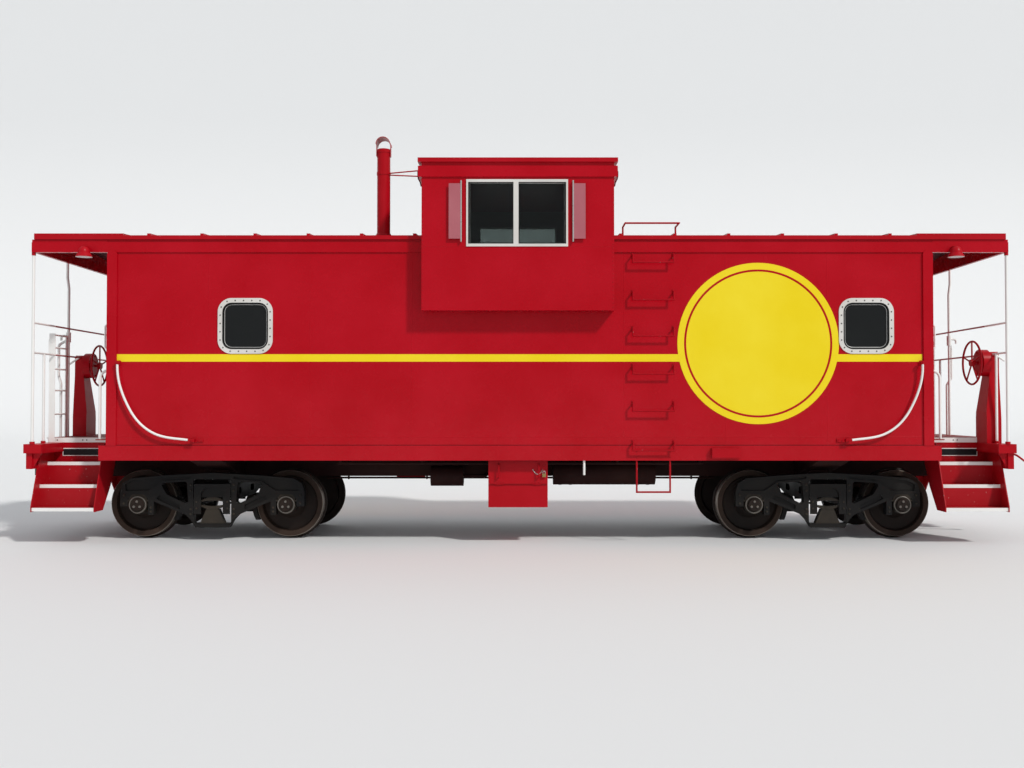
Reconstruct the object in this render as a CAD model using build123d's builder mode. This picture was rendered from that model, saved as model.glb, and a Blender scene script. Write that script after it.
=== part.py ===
from build123d import *

import math
import os

# A steel caboose with a wide cupola, in millimetres. X runs along the track, Y across it
# and Z up. Z = 0 is the lowest point of the wheel flanges. The near side is at -Y. The
# a end is at -X and the b end is at +X. One side of the car is the other turned half round.

# Wheels and trucks
tread_radius = 419.0
flange_height = 25.5
back_to_centre = 677.0
rim_width = 145.0
hub_overhang = 25.0
axle_radius = 82.0
journal_radius = 68.0
journal_y = 978.0
wheelbase = 1829.0
truck_spacing = 7600.0
frame_width = 120.0
frame_web = 64.0
cup_radius = 112.0
cup_length = 150.0
centre_plate_z = 690.0
centre_plate_radius = 170.0
bolster_half_length = 145.0
leaf_count = 5
leaf_thickness = 8.0
spring_half_span = 205.0
plate_gap = 0.3
moving_gap = 6.0

# Car body
body_length = 9920.0
body_width = 2840.0
wall = 60.0
sill_bottom = 1010.0
sill_top = 1190.0
floor_thickness = 75.0
eave_z = 3715.0
roof_sheet = 50.0
roof_rise = 100.0
roof_lip = 20.0
canopy_reach = 910.0
roof_rib_pitch = 620.0
roof_rib = (40.0, 22.0)
fascia_bottom = 3511.0
fascia_top = 3631.0
fascia_stand = 16.0
fascia_plate = 40.0
sill_stand = 14.0
sill_overrun = 90.0
corner_strip = 120.0

# Cupola
cupola_a = -1167.0
cupola_b = 1116.0
cupola_width = 3240.0
cupola_bottom = 2795.0
cupola_wall = 50.0
cupola_eave_z = 4605.0
cupola_rise = 85.0
cupola_lip = 30.0
cupola_roof_overhang = 45.0
cupola_fascia = (4379.0, 4509.0)

# Platforms, steps and ends
platform_reach = 995.0
end_beam_width = 215.0
end_beam = (1095.0, 1205.0)
end_sill_bottom = 905.0
deck_plate = 12.0
step_inset = 130.0
step_end_inset = 95.0
step_plate = 12.0
step_count = 3
step_rise = 265.0
step_run = 205.0
first_tread_z = 441.0
rail_inset = 98.0
post_radius = 17.0
rod_radius = 11.0

# Coupler
coupler_z = 901.0
coupler_reach = 435.0
coupler_pivot_inset = 705.0
coupler_height = 300.0
shank = (130.0, 160.0)
draft_sill_width = 342.0
draft_sill_web = 16.0
draft_sill_top = 1065.0
draft_sill_bottom = 740.0
draft_pin_radius = 32.0

axle_z = tread_radius + flange_height
flange_radius = axle_z
truck_x = truck_spacing / 2
half_length = body_length / 2
half_width = body_width / 2
floor_top = sill_top + floor_thickness
wall_top = eave_z - roof_sheet
inner_half = half_width - wall
roof_half = half_width + roof_lip
ridge_z = eave_z + roof_rise
roof_end = half_length + canopy_reach
platform_end = half_length + platform_reach
step_inner_x = half_length + step_inset
step_outer_x = platform_end - step_end_inset
rail_x = platform_end - rail_inset
coupler_face = platform_end + coupler_reach
coupler_pivot_x = platform_end - coupler_pivot_inset
cupola_half = cupola_width / 2
cupola_wall_top = cupola_eave_z - roof_sheet

os.makedirs("parts", exist_ok=True)


def save(builder, name):
    """Label a finished piece and write it to its own file."""
    builder.part.label = name
    export_step(builder.part, "parts/" + name + ".step")


def rod(points, radius, bends=None):
    """Add a round rod through the points, with bent corners or with mitred ones."""
    with BuildLine() as path:
        if bends:
            FilletPolyline(*points, radius=bends)
        else:
            Polyline(*points)
    with BuildSketch(Plane(path.line @ 0, z_dir=path.line % 0)) as section:
        Circle(radius)
    sweep(sections=section.sketch, path=path.line, transition=Transition.RIGHT)


def bar(plane, width, height, amount, at=(0, 0), mode=Mode.ADD, corner=0.0):
    """Add or cut a bar with a rectangular section that is centred on a point of the plane."""
    with BuildSketch(plane) as section:
        with Locations(at):
            if corner:
                RectangleRounded(width, height, corner)
            else:
                Rectangle(width, height)
    extrude(section.sketch, amount=amount, mode=mode)


def block(x, y, z, mode=Mode.ADD):
    """Add or cut a block between two limits on each axis."""
    size = (x[1] - x[0], y[1] - y[0])
    bar(Plane.XY.offset(z[0]), *size, z[1] - z[0], ((x[0] + x[1]) / 2, (y[0] + y[1]) / 2), mode)


def plate(plane, outline, amount, mode=Mode.ADD, corner=0.0):
    """Add or cut a plate with a straight-sided outline drawn on the plane."""
    with BuildSketch(plane) as section:
        with BuildLine():
            Polyline(*outline, close=True)
        make_face()
        if corner:
            fillet(section.vertices(), corner)
    extrude(section.sketch, amount=amount, mode=mode)


def across(x):
    """The plane that looks along the car at a given X, with Y to the right and Z up."""
    return Plane.YZ.offset(x)


def along(y):
    """The plane that looks across the car at a given Y, with X to the right and Z up."""
    return Plane((0, y, 0), x_dir=(1, 0, 0), z_dir=(0, -1, 0))


# Wheelsets: two wheels pressed on an axle, with a bolted cap on each end of it.
rim_outer = back_to_centre + rim_width
hub_outer = rim_outer + hub_overhang
axle_end = journal_y + cup_length / 2
cap_thickness = 26.0
wheel_profile = [
    (0, 0),
    (0, axle_radius),
    (back_to_centre - 30, axle_radius + 6),
    (back_to_centre - 16, 135),
    (back_to_centre + 34, 168),
    (back_to_centre + 52, 330),
    (back_to_centre, tread_radius - 64),
    (back_to_centre, tread_radius + 8),
    (back_to_centre + 12, flange_radius),
    (back_to_centre + 26, flange_radius - 2),
    (back_to_centre + 40, tread_radius),
    (rim_outer - 6, tread_radius - 5),
    (rim_outer, tread_radius - 12),
    (rim_outer, tread_radius - 70),
    (rim_outer - 55, tread_radius - 92),
    (rim_outer - 55, 190),
    (hub_outer, 135),
    (hub_outer, journal_radius + 18),
    (journal_y - cup_length / 2 - 2, journal_radius),
    (axle_end, journal_radius),
    (axle_end, cup_radius - 30),
    (axle_end + cap_thickness, cup_radius - 42),
    (axle_end + cap_thickness, 0),
]
with BuildPart() as wheelset:
    with BuildSketch(Plane.YZ) as half_section:
        with BuildLine():
            Polyline(*wheel_profile, close=True)
        make_face()
    revolve(half_section.sketch, axis=Axis.Y)
    mirror(about=Plane.XZ)

# Cast side frames: a web with a raised rim, cut through by two triangles and the spring
# window, with jaws that hold the bearings.
frame_top = 837.0
frame_shoulder = 768.0
jaw_half = cup_radius + 14.0
jaw_wall = 96.0
axle_x = wheelbase / 2
window_half = 235.0
window_bottom = 214.0
window_top = 757.0
seat_half = 262.0
seat_bottom = 162.0
frame_end = axle_x + jaw_half + jaw_wall
jaw_inner = axle_x - jaw_half
leg_inner = jaw_inner - 66.0
frame_outline = [
    (0, frame_top),
    (axle_x * 0.62, frame_top - 30),
    (frame_end - 130, frame_shoulder),
    (frame_end - 30, frame_shoulder - 60),
    (frame_end, frame_shoulder - 160),
    (frame_end, axle_z - 20),
    (axle_x + jaw_half, axle_z - 20),
    (axle_x + jaw_half, axle_z + 60),
    (axle_x + jaw_half - 52, axle_z + jaw_half),
    (jaw_inner + 52, axle_z + jaw_half),
    (jaw_inner, axle_z + 60),
    (jaw_inner, axle_z - 125),
    (leg_inner, axle_z - 125),
    (leg_inner, axle_z + 42),
    (seat_half + 60, 320),
    (seat_half, 256),
    (seat_half - 56, seat_bottom),
    (0, seat_bottom),
]
triangle = [(642, 708), (314, 731), (293, 440), (560, 572)]
triangle_corner = 30.0
rim = 26.0
pocket_outline = [
    (262, frame_top - 18 - rim),
    (axle_x * 0.62, frame_top - 30 - rim),
    (frame_end - 150, frame_shoulder - rim),
    (frame_end - 60, frame_shoulder - 74),
    (frame_end - 70, axle_z + 170),
    (jaw_inner - 10, axle_z + 175),
    (614, 708 + rim),
    (316, 731 + rim),
    (262, 731 + rim + 12),
]
diagonal_pocket = [(400, 444), (560, 524), (650, 560), (690, 520), (590, 468), (400, 386)]


def mirrored(outline):
    """The outline and its mirror image in X, as one loop."""
    return outline + [(-x, z) for x, z in reversed(outline) if x]


with BuildPart() as side_frame:
    plate(along(-(journal_y + frame_width / 2)), mirrored(frame_outline), -frame_width)
    pocket_depth = (frame_width - frame_web) / 2
    for side in (-1, 1):
        hole = [(side * x, z) for x, z in triangle]
        plate(along(-(journal_y + frame_width)), hole, -2 * frame_width, Mode.SUBTRACT, triangle_corner)
        for outline in (pocket_outline, diagonal_pocket):
            pocket = [(side * x, z) for x, z in outline]
            plate(along(-(journal_y + frame_width / 2)), pocket, -pocket_depth, Mode.SUBTRACT)
            plate(along(-(journal_y - frame_width / 2)), pocket, pocket_depth, Mode.SUBTRACT)
    middle = (window_bottom + window_top) / 2
    tall = window_top - window_bottom
    bar(along(-(journal_y + frame_width)), 2 * window_half, tall, -2 * frame_width,
        (0, middle), Mode.SUBTRACT, 24)

with BuildPart() as side_frames:
    add(side_frame.part)
    mirror(about=Plane.XZ)

# Roller bearings: a cup in each jaw under a saddle-shaped adapter.
with BuildPart() as bearing:
    with BuildSketch(along(-(journal_y + cup_length / 2))) as cup:
        with Locations((axle_x, axle_z)):
            Circle(cup_radius)
    extrude(cup.sketch, amount=-cup_length)
    block((axle_x - jaw_half + 20, axle_x + jaw_half - 20),
          (-journal_y - frame_width / 2, -journal_y + frame_width / 2),
          (axle_z + 40, axle_z + jaw_half))
    for side in (-1, 1):
        plate(along(-journal_y - frame_width / 2),
              [(axle_x + side * (jaw_half - 20), axle_z + 62), (axle_x + side * jaw_half, axle_z + 62),
               (axle_x + side * jaw_half, axle_z + 40), (axle_x + side * (jaw_half - 20), axle_z + 40)],
              -frame_width)
    with BuildSketch(along(-(journal_y + cup_length))) as bore:
        with Locations((axle_x, axle_z)):
            Circle(journal_radius + plate_gap)
    extrude(bore.sketch, amount=-2 * cup_length, mode=Mode.SUBTRACT)
    add(side_frame.part, mode=Mode.SUBTRACT)

with BuildPart() as bearings:
    add(bearing.part)
    mirror(about=Plane.XZ)
    mirror(about=Plane.YZ)

# Truck bolster: a deep beam with a bowl for the body's centre plate and two side bearings.
bolster_top = 655.0
bolster_end_top = 700.0
bolster_end_bottom = 535.0
arch_half = 222.0
arch_foot = 330.0
arch_opening = (270.0, 655.0, 95.0)
arch_plate = 14.0
bowl_wall = 22.0
bowl_floor = centre_plate_z - plate_gap
side_bearing_y = 635.0
bolster_end = journal_y + frame_width / 2 + 12
bolster_outline = [
    (bolster_end, bolster_end_top),
    (bolster_end, bolster_end_bottom),
    (journal_y - frame_width / 2 - 40, bolster_end_bottom),
    (480, 455),
    (-480, 455),
    (-journal_y + frame_width / 2 + 40, bolster_end_bottom),
    (-bolster_end, bolster_end_bottom),
    (-bolster_end, bolster_end_top),
    (-bolster_end + 160, bolster_end_top),
    (-bolster_end + 210, bolster_top),
    (bolster_end - 210, bolster_top),
    (bolster_end - 160, bolster_end_top),
]
with BuildPart() as truck_bolster:
    plate(across(-bolster_half_length), bolster_outline, 2 * bolster_half_length)
    with BuildSketch(Plane.XY.offset(bolster_top)) as bowl:
        Circle(centre_plate_radius + moving_gap + bowl_wall)
    extrude(bowl.sketch, amount=centre_plate_z + 16 - bolster_top)
    with BuildSketch(Plane.XY.offset(bowl_floor)) as seat:
        Circle(centre_plate_radius + moving_gap)
    extrude(seat.sketch, amount=60, mode=Mode.SUBTRACT)
    for side in (-1, 1):
        block((-110, 110), (side * side_bearing_y - 60, side * side_bearing_y + 60),
              (bolster_top, bolster_top + 72))
    for side in (-1, 1):
        end_box = sorted((side * (journal_y - frame_width / 2 + 10), side * bolster_end))
        block((-arch_half, arch_half), end_box, (arch_opening[1], bolster_end_top))
        plate(along(side * (bolster_end - arch_plate / 2) + arch_plate / 2),
              [(-arch_half, arch_foot), (-arch_half, bolster_end_top), (arch_half, bolster_end_top),
               (arch_half, arch_foot)], arch_plate)
        width, top, corner = arch_opening
        bar(along(side * (bolster_end - arch_plate / 2) + arch_plate), width, 2 * (top - arch_foot),
            2 * arch_plate, (0, arch_foot), Mode.SUBTRACT, corner)
        block((-arch_half - 1, arch_half + 1), sorted((side * 900, side * (bolster_end + 1))),
              (0, arch_foot), Mode.SUBTRACT)
    for side in (-1, 1):
        hole_y = side * 330
        with BuildSketch(Plane.YZ.offset(-bolster_half_length)) as hole:
            with Locations((hole_y, 560)):
                SlotOverall(200, 90)
        extrude(hole.sketch, amount=2 * bolster_half_length, mode=Mode.SUBTRACT)

# Elliptic leaf springs: one between the bolster's end and a seat on each side frame, with
# two bands of stacked leaves that are bowed apart.
spring_foot = 385.0
spring_height = bolster_end_bottom - spring_foot
spring_seat = [(-150, window_bottom), (-78, spring_foot), (78, spring_foot), (150, window_bottom)]
leaf_width = 100.0
pack_depth = leaf_count * leaf_thickness
eye_radius = 13.0


def leaf(y, z, span, height, direction):
    """Add one leaf: a strip that is bent to an arc over its span."""
    with BuildSketch(along(y - leaf_width / 2)) as strip:
        with BuildLine():
            lower = ThreePointArc((-span, z), (0, z + direction * height), (span, z))
            raised = z + direction * leaf_thickness
            upper = ThreePointArc((-span, raised), (0, raised + direction * height), (span, raised))
            Line(lower @ 0, upper @ 0)
            Line(lower @ 1, upper @ 1)
        make_face()
    extrude(strip.sketch, amount=-leaf_width)


with BuildPart() as spring_side:
    middle_z = spring_foot + spring_height / 2
    camber = spring_height / 2 - pack_depth
    for direction in (-1, 1):
        for number in range(leaf_count):
            share = 1 - 0.16 * number
            drop = camber * (1 - share**2)
            leaf(-journal_y, middle_z + direction * (drop + number * leaf_thickness),
                 spring_half_span * share, camber - drop, direction)
    for side in (-1, 1):
        with BuildSketch(along(-journal_y - leaf_width / 2)) as eye:
            with Locations((side * spring_half_span, middle_z)):
                Circle(eye_radius)
        extrude(eye.sketch, amount=-leaf_width)
    for direction in (-1, 1):
        bar(along(-journal_y - leaf_width / 2 - 4), 56, pack_depth, -leaf_width - 8,
            (0, middle_z + direction * (spring_height - pack_depth) / 2))
    plate(along(-journal_y - leaf_width / 2), spring_seat, -leaf_width)

with BuildPart() as springs:
    add(spring_side.part)
    mirror(about=Plane.XZ)

# Brake beams: a truss across the truck inside each axle, with a shoe head at each wheel.
beam_z = 405.0
shoe_gap = 8.0
shoe_back = tread_radius + shoe_gap + 52
shoe_y = back_to_centre + 96.0
with BuildPart() as brake_beam:
    beam_x = axle_x - shoe_back - 20
    with BuildSketch(Plane.XY.offset(beam_z - 30)) as truss:
        with BuildLine():
            Polyline((beam_x + 22, -shoe_y), (beam_x + 22, shoe_y), (beam_x - 14, shoe_y),
                     (beam_x - 90, 90), (beam_x - 90, -90), (beam_x - 14, -shoe_y), close=True)
        make_face()
        with BuildLine():
            Polyline((beam_x - 14, -shoe_y + 160), (beam_x - 14, shoe_y - 160),
                     (beam_x - 54, 80), (beam_x - 54, -80), close=True)
        make_face(mode=Mode.SUBTRACT)
    extrude(truss.sketch, amount=60)
    frame_face = journal_y - frame_width / 2
    block((beam_x - 14, beam_x + 22), (-frame_face, frame_face), (beam_z - 20, beam_z + 20))
    for side in (-1, 1):
        with BuildSketch(along(side * shoe_y + 42)) as shoe:
            with Locations((axle_x, axle_z)):
                Circle(shoe_back)
                Circle(tread_radius + shoe_gap, mode=Mode.SUBTRACT)
            with Locations((axle_x - shoe_back, axle_z - 60)):
                Rectangle(200, 300, mode=Mode.INTERSECT)
        extrude(shoe.sketch, amount=84)

with BuildPart() as brake_beams:
    add(brake_beam.part)
    mirror(about=Plane.YZ)

truck_pieces = {
    "side_frames": side_frames,
    "bearings": bearings,
    "bolster": truck_bolster,
    "leaf_springs": springs,
    "brake_beams": brake_beams,
}
truck_ends = {"a": -truck_x, "b": truck_x}
for end, x in truck_ends.items():
    for piece_name, piece in truck_pieces.items():
        with BuildPart() as placed:
            with Locations((x, 0, 0)):
                add(piece.part)
        save(placed, "truck_" + end + "_" + piece_name)
wheelset_places = {
    "wheelset_1": -truck_x - axle_x,
    "wheelset_2": -truck_x + axle_x,
    "wheelset_3": truck_x - axle_x,
    "wheelset_4": truck_x + axle_x,
}
for name, x in wheelset_places.items():
    with BuildPart() as placed:
        with Locations((x, 0, axle_z)):
            add(wheelset.part)
    save(placed, name)

# Underframe: an open centre sill, two body bolsters over the trucks and cross bearers.
sill_half = draft_sill_width / 2
sill_end_x = platform_end - end_beam_width
body_bolster_outline = [
    (half_width - 40, sill_top),
    (half_width - 40, sill_bottom + 10),
    (1150, 960),
    (230, draft_sill_bottom),
    (-230, draft_sill_bottom),
    (-1150, 960),
    (-half_width + 40, sill_bottom + 10),
    (-half_width + 40, sill_top),
]
cross_bearers = (-2300, -1250, 0, 1250, 2300)
bearer_outline = [
    (half_width - 40, sill_top),
    (half_width - 40, sill_top - 90),
    (sill_half, sill_top - 260),
    (-sill_half, sill_top - 260),
    (-half_width + 40, sill_top - 90),
    (-half_width + 40, sill_top),
]
with BuildPart() as underframe:
    for x in (-truck_x, truck_x):
        plate(across(x - 190), body_bolster_outline, 380)
        with BuildSketch(Plane.XY.offset(centre_plate_z)) as centre_plate:
            with Locations((x, 0)):
                Circle(centre_plate_radius)
        extrude(centre_plate.sketch, amount=draft_sill_bottom - centre_plate_z + 5)
        for side in (-1, 1):
            block((x - 110, x + 110), (side * side_bearing_y - 55, side * side_bearing_y + 55),
                  (bolster_top + 72 + moving_gap, 900))
    for x in cross_bearers:
        plate(across(x - 50), bearer_outline, 100)
    block((-sill_end_x, sill_end_x), (-sill_half, sill_half), (draft_sill_bottom, sill_top))
    block((-sill_end_x, sill_end_x), (-sill_half + draft_sill_web, sill_half - draft_sill_web),
          (draft_sill_bottom, draft_sill_top - draft_sill_web), Mode.SUBTRACT)
    for x in (-truck_x, truck_x):
        block((x - 190, x + 190), (-sill_half, sill_half), (draft_sill_bottom, draft_sill_bottom + 30))
    for x in (-coupler_pivot_x, coupler_pivot_x):
        block((x - 90, x + 90), (-sill_half, sill_half),
              (draft_sill_bottom, coupler_z - shank[1] / 2 - plate_gap))
        with BuildSketch(Plane.XY.offset(draft_sill_bottom)) as draft_pin:
            with Locations((x, 0)):
                Circle(draft_pin_radius)
        extrude(draft_pin.sketch, amount=draft_sill_top - draft_sill_bottom)
save(underframe, "underframe")

# Side sills: a channel under each wall, run on past the body to the step wells.
sill_run = half_length + sill_overrun
with BuildPart() as side_sills:
    block((-sill_run, sill_run), (-half_width - sill_stand, -half_width + 40), (sill_bottom, sill_top))
    block((-sill_run - 1, sill_run + 1), (-half_width, -half_width + 40),
          (sill_bottom + 14, sill_top - 14), Mode.SUBTRACT)
    mirror(about=Plane.XZ)
    block((2290, 2630), (-half_width - sill_stand - 60, -half_width - sill_stand + 1), (1040, 1160))
save(side_sills, "side_sills")

# Floor
with BuildPart() as floor_plate:
    block((-half_length + wall, half_length - wall), (-inner_half, inner_half), (sill_top, floor_top))
save(floor_plate, "floor")

# Side walls, each cut away where the cupola widens out of it, with two round-cornered windows.
side_window_x = (1660.0 - half_length, half_length - 800.0)
side_window_z = 2625.0
side_window = (660.0, 670.0, 165.0)
side_window_border = 62.0
side_window_rebate = 30.0


def window_loop(x, inset, y_from, depth, mode=Mode.ADD):
    """Add or cut the round-cornered shape of a side window, inset from its outer edge."""
    width, height, corner = side_window
    bar(along(y_from), width - 2 * inset, height - 2 * inset, depth,
        (x, side_window_z), mode, corner - inset)


for name, side in (("side_wall_near", -1), ("side_wall_far", 1)):
    with BuildPart() as side_wall:
        face = sorted((side * half_width, side * inner_half))
        block((-half_length, half_length), face, (sill_top, wall_top))
        block((cupola_a, cupola_b), (face[0] - 1, face[1] + 1), (cupola_bottom, wall_top + 1),
              Mode.SUBTRACT)
        for x in side_window_x:
            window_loop(-side * x, side_window_rebate, face[1] + 1, wall + 2, Mode.SUBTRACT)
    save(side_wall, name)

# End walls, with a doorway in the middle and hinge barrels for the door.
door_half = 350.0
door_height = 1900.0
door_gap = 5.0
hinge_radius = 9.0
hinge_heights = (300.0, 1000.0, 1650.0)
hinge_offset = 14.0
barrel = 40.0
end_inner_x = half_length - wall
hinge_x = end_inner_x - hinge_offset
end_wall_outline = [
    (-inner_half, sill_top),
    (-inner_half, wall_top),
    (-inner_half + 10, wall_top),
    (0, wall_top + roof_rise),
    (inner_half - 10, wall_top),
    (inner_half, wall_top),
    (inner_half, sill_top),
]
with BuildPart() as end_wall:
    plate(across(end_inner_x), end_wall_outline, wall)
    block((end_inner_x - 1, half_length + 1), (-door_half, door_half),
          (floor_top, floor_top + door_height), Mode.SUBTRACT)
    for height in hinge_heights:
        for side in (-1, 1):
            middle = floor_top + height + side * (barrel / 2 + plate_gap + 15)
            with BuildSketch(Plane.XY.offset(middle - 15)) as knuckle_ring:
                with Locations((hinge_x, -door_half)):
                    Circle(hinge_radius)
            extrude(knuckle_ring.sketch, amount=30)
            block((hinge_x - 3, end_inner_x), (-door_half - 8, -door_half - 2),
                  (middle - 15, middle + 15))

with BuildPart() as end_walls:
    add(end_wall.part)
    add(end_wall.part, rotation=(0, 0, 180))
save(end_walls, "end_walls")

# End doors: a leaf with a window, which swings into the car on three hinges.
door_thickness = 40.0
door_inner_x = end_inner_x + 5
door_window = (380.0, 620.0, 40.0)
door_window_z = floor_top + 1430
door_free_gap = 9.0
with BuildPart() as door_leaf:
    block((door_inner_x, door_inner_x + door_thickness), (-door_half + door_gap, door_half - door_free_gap),
          (floor_top + door_gap, floor_top + door_height - door_gap))
    with BuildSketch(across(door_inner_x)) as door_light:
        with Locations((0, door_window_z)):
            RectangleRounded(*door_window)
    extrude(door_light.sketch, amount=door_thickness, mode=Mode.SUBTRACT)
    for height in hinge_heights:
        with BuildSketch(Plane.XY.offset(floor_top + height - barrel / 2)) as knuckle_ring:
            with Locations((hinge_x, -door_half)):
                Circle(hinge_radius)
        extrude(knuckle_ring.sketch, amount=barrel)
        block((hinge_x, door_inner_x), (-door_half + 2, -door_half + 8),
              (floor_top + height - barrel / 2, floor_top + height + barrel / 2))
        block((door_inner_x - 6, door_inner_x), (-door_half + 2, -door_half + 110),
              (floor_top + height - barrel / 2, floor_top + height + barrel / 2))
    for side, x in ((-1, door_inner_x), (1, door_inner_x + door_thickness)):
        rod([(x, door_half - 70, floor_top + 1000), (x + side * 34, door_half - 70, floor_top + 1000),
             (x + side * 34, door_half - 150, floor_top + 1000)], 8)

with BuildPart() as door_pane:
    with BuildSketch(across(door_inner_x + door_thickness / 2 - 3)) as glass:
        with Locations((0, door_window_z)):
            RectangleRounded(*door_window)
    extrude(glass.sketch, amount=6)

for end, turn in (("a", 180), ("b", 0)):
    with BuildPart() as placed:
        add(door_leaf.part, rotation=(0, 0, turn))
    save(placed, "end_door_" + end)
    with BuildPart() as placed:
        add(door_pane.part, rotation=(0, 0, turn))
    save(placed, "end_door_" + end + "_pane")

# Roof: two low-pitched panels, in front of and behind the cupola, with standing ribs.
ledge = 70.0
roof_outline = [
    (-roof_half, wall_top),
    (-roof_half + roof_lip + ledge, wall_top),
    (0, wall_top + roof_rise),
    (roof_half - roof_lip - ledge, wall_top),
    (roof_half, wall_top),
    (roof_half, eave_z),
    (0, ridge_z),
    (-roof_half, eave_z),
]
rib_outline = [
    (-roof_half, eave_z),
    (0, ridge_z),
    (roof_half, eave_z),
    (roof_half, eave_z + roof_rib[1]),
    (0, ridge_z + roof_rib[1]),
    (-roof_half, eave_z + roof_rib[1]),
]
canopy_cap = 1070.0
with BuildPart() as main_roof:
    for x_from, x_to in ((-roof_end + 30, cupola_a), (cupola_b, roof_end - 30)):
        plate(across(x_from), roof_outline, x_to - x_from)
        rib_count = int((x_to - x_from - 200) / roof_rib_pitch)
        for number in range(rib_count + 1):
            rib_x = x_from + 100 + number * (x_to - x_from - 200) / rib_count
            plate(across(rib_x - roof_rib[0] / 2), rib_outline, roof_rib[0])
    for side in (-1, 1):
        plate(across(side * (roof_end - 30)), rib_outline, side * -canopy_cap)
save(main_roof, "main_roof")

# Fascia: a band below each eave that runs out round the open canopy at the end of the car,
# with a pressed strip down each corner of the body.
strip_stand = 22.0
canopy_side = [
    (-half_width - fascia_stand, fascia_bottom),
    (-half_width - fascia_stand, fascia_top),
    (-half_width - fascia_stand + 12, fascia_top),
    (-half_width - fascia_stand + 12, wall_top),
    (-half_width + fascia_plate, wall_top),
    (-half_width + fascia_plate, fascia_bottom),
]
canopy_end_outline = [
    (-half_width + fascia_plate, fascia_bottom),
    (-half_width + fascia_plate, wall_top),
    (-inner_half + 10, wall_top),
    (0, wall_top + roof_rise),
    (inner_half - 10, wall_top),
    (half_width - fascia_plate, wall_top),
    (half_width - fascia_plate, fascia_bottom),
]
with BuildPart() as canopy_b:
    for side in (-1, 1):
        band = sorted((side * half_width, side * (half_width + fascia_stand)))
        block((-cupola_a, half_length), band, (fascia_bottom, fascia_top))
    plate(across(half_length), canopy_side, canopy_reach)
    plate(across(half_length), [(-y, z) for y, z in canopy_side], canopy_reach)
    plate(across(roof_end - fascia_plate), canopy_end_outline, fascia_plate)

with BuildPart() as fascia:
    add(canopy_b.part)
    for side in (-1, 1):
        face = sorted((side * half_width, side * (half_width + strip_stand)))
        block((half_length - corner_strip, half_length), face, (sill_top, fascia_bottom - 30))
        with BuildSketch(along(face[0])) as strip_head:
            with Locations((half_length - corner_strip / 2, fascia_bottom - 30)):
                Circle(corner_strip / 2)
        extrude(strip_head.sketch, amount=-strip_stand)
    mirror(about=Plane.YZ)
    for side in (-1, 1):
        band = sorted((side * half_width, side * (half_width + fascia_stand)))
        block((cupola_b, 1 - cupola_a), band, (fascia_bottom, fascia_top))
save(fascia, "fascia")

# Cupola: two overhanging sides with a window opening, two ends with two windows each,
# and a roof of its own.
cupola_window = (-637.0, 569.0, 3552.0, 4350.0)
window_lap = 25.0
cupola_end_window = (620.0, 420.0, 50.0)
cupola_end_window_y = 820.0
cupola_end_window_z = 4130.0


def cupola_opening(inset, y_from, depth, mode=Mode.ADD):
    """Add or cut the cupola window's rectangle, inset from its outer edge."""
    left, right, low, high = cupola_window
    block((left + inset, right - inset), (y_from, y_from + depth), (low + inset, high - inset), mode)


with BuildPart() as cupola_side_near:
    block((cupola_a, cupola_b), (-cupola_half, -cupola_half + cupola_wall),
          (cupola_bottom, cupola_wall_top))
    block((cupola_a, cupola_b), (-cupola_half, -inner_half),
          (cupola_bottom, cupola_bottom + cupola_wall))
    cupola_opening(window_lap, -cupola_half - 1, cupola_wall + 2, Mode.SUBTRACT)
save(cupola_side_near, "cupola_side_near")

with BuildPart() as cupola_side_far:
    add(cupola_side_near.part)
    mirror(about=Plane.XZ)
    block((cupola_a - 1, cupola_b + 1), (-cupola_half - 1, 0), (cupola_bottom - 1, cupola_wall_top + 1),
          Mode.SUBTRACT)
save(cupola_side_far, "cupola_side_far")

cupola_inner = cupola_half - cupola_wall
header_z = wall_top - 25
cupola_end_outline = [
    (-cupola_inner, cupola_bottom + cupola_wall),
    (-inner_half, cupola_bottom + cupola_wall),
    (-inner_half, header_z),
    (inner_half, header_z),
    (inner_half, cupola_bottom + cupola_wall),
    (cupola_inner, cupola_bottom + cupola_wall),
    (cupola_inner, cupola_wall_top),
    (cupola_inner - 30, cupola_wall_top),
    (0, cupola_wall_top + cupola_rise),
    (-cupola_inner + 30, cupola_wall_top),
    (-cupola_inner, cupola_wall_top),
]
cupola_end_x = (cupola_a, cupola_b - cupola_wall)
with BuildPart() as cupola_ends:
    for x in cupola_end_x:
        plate(across(x), cupola_end_outline, cupola_wall)
        for side in (-1, 1):
            with BuildSketch(across(x)) as light:
                with Locations((side * cupola_end_window_y, cupola_end_window_z)):
                    RectangleRounded(*cupola_end_window)
            extrude(light.sketch, amount=cupola_wall, mode=Mode.SUBTRACT)
save(cupola_ends, "cupola_ends")

cupola_roof_half = cupola_half + cupola_lip
cupola_roof_outline = [
    (-cupola_roof_half, cupola_wall_top),
    (-cupola_inner + 30, cupola_wall_top),
    (0, cupola_wall_top + cupola_rise),
    (cupola_inner - 30, cupola_wall_top),
    (cupola_roof_half, cupola_wall_top),
    (cupola_roof_half, cupola_eave_z),
    (0, cupola_eave_z + cupola_rise),
    (-cupola_roof_half, cupola_eave_z),
]
with BuildPart() as cupola_roof:
    plate(across(cupola_a - cupola_roof_overhang), cupola_roof_outline,
          cupola_b - cupola_a + 2 * cupola_roof_overhang)
save(cupola_roof, "cupola_roof")

cupola_fascia_stand = 20.0
with BuildPart() as cupola_trim:
    block((cupola_a - 43, cupola_b + 43), (-cupola_half - cupola_fascia_stand,
          cupola_half + cupola_fascia_stand), cupola_fascia)
    block((cupola_a, cupola_b), (-cupola_half, cupola_half), cupola_fascia, Mode.SUBTRACT)
save(cupola_trim, "cupola_fascia")

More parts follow.
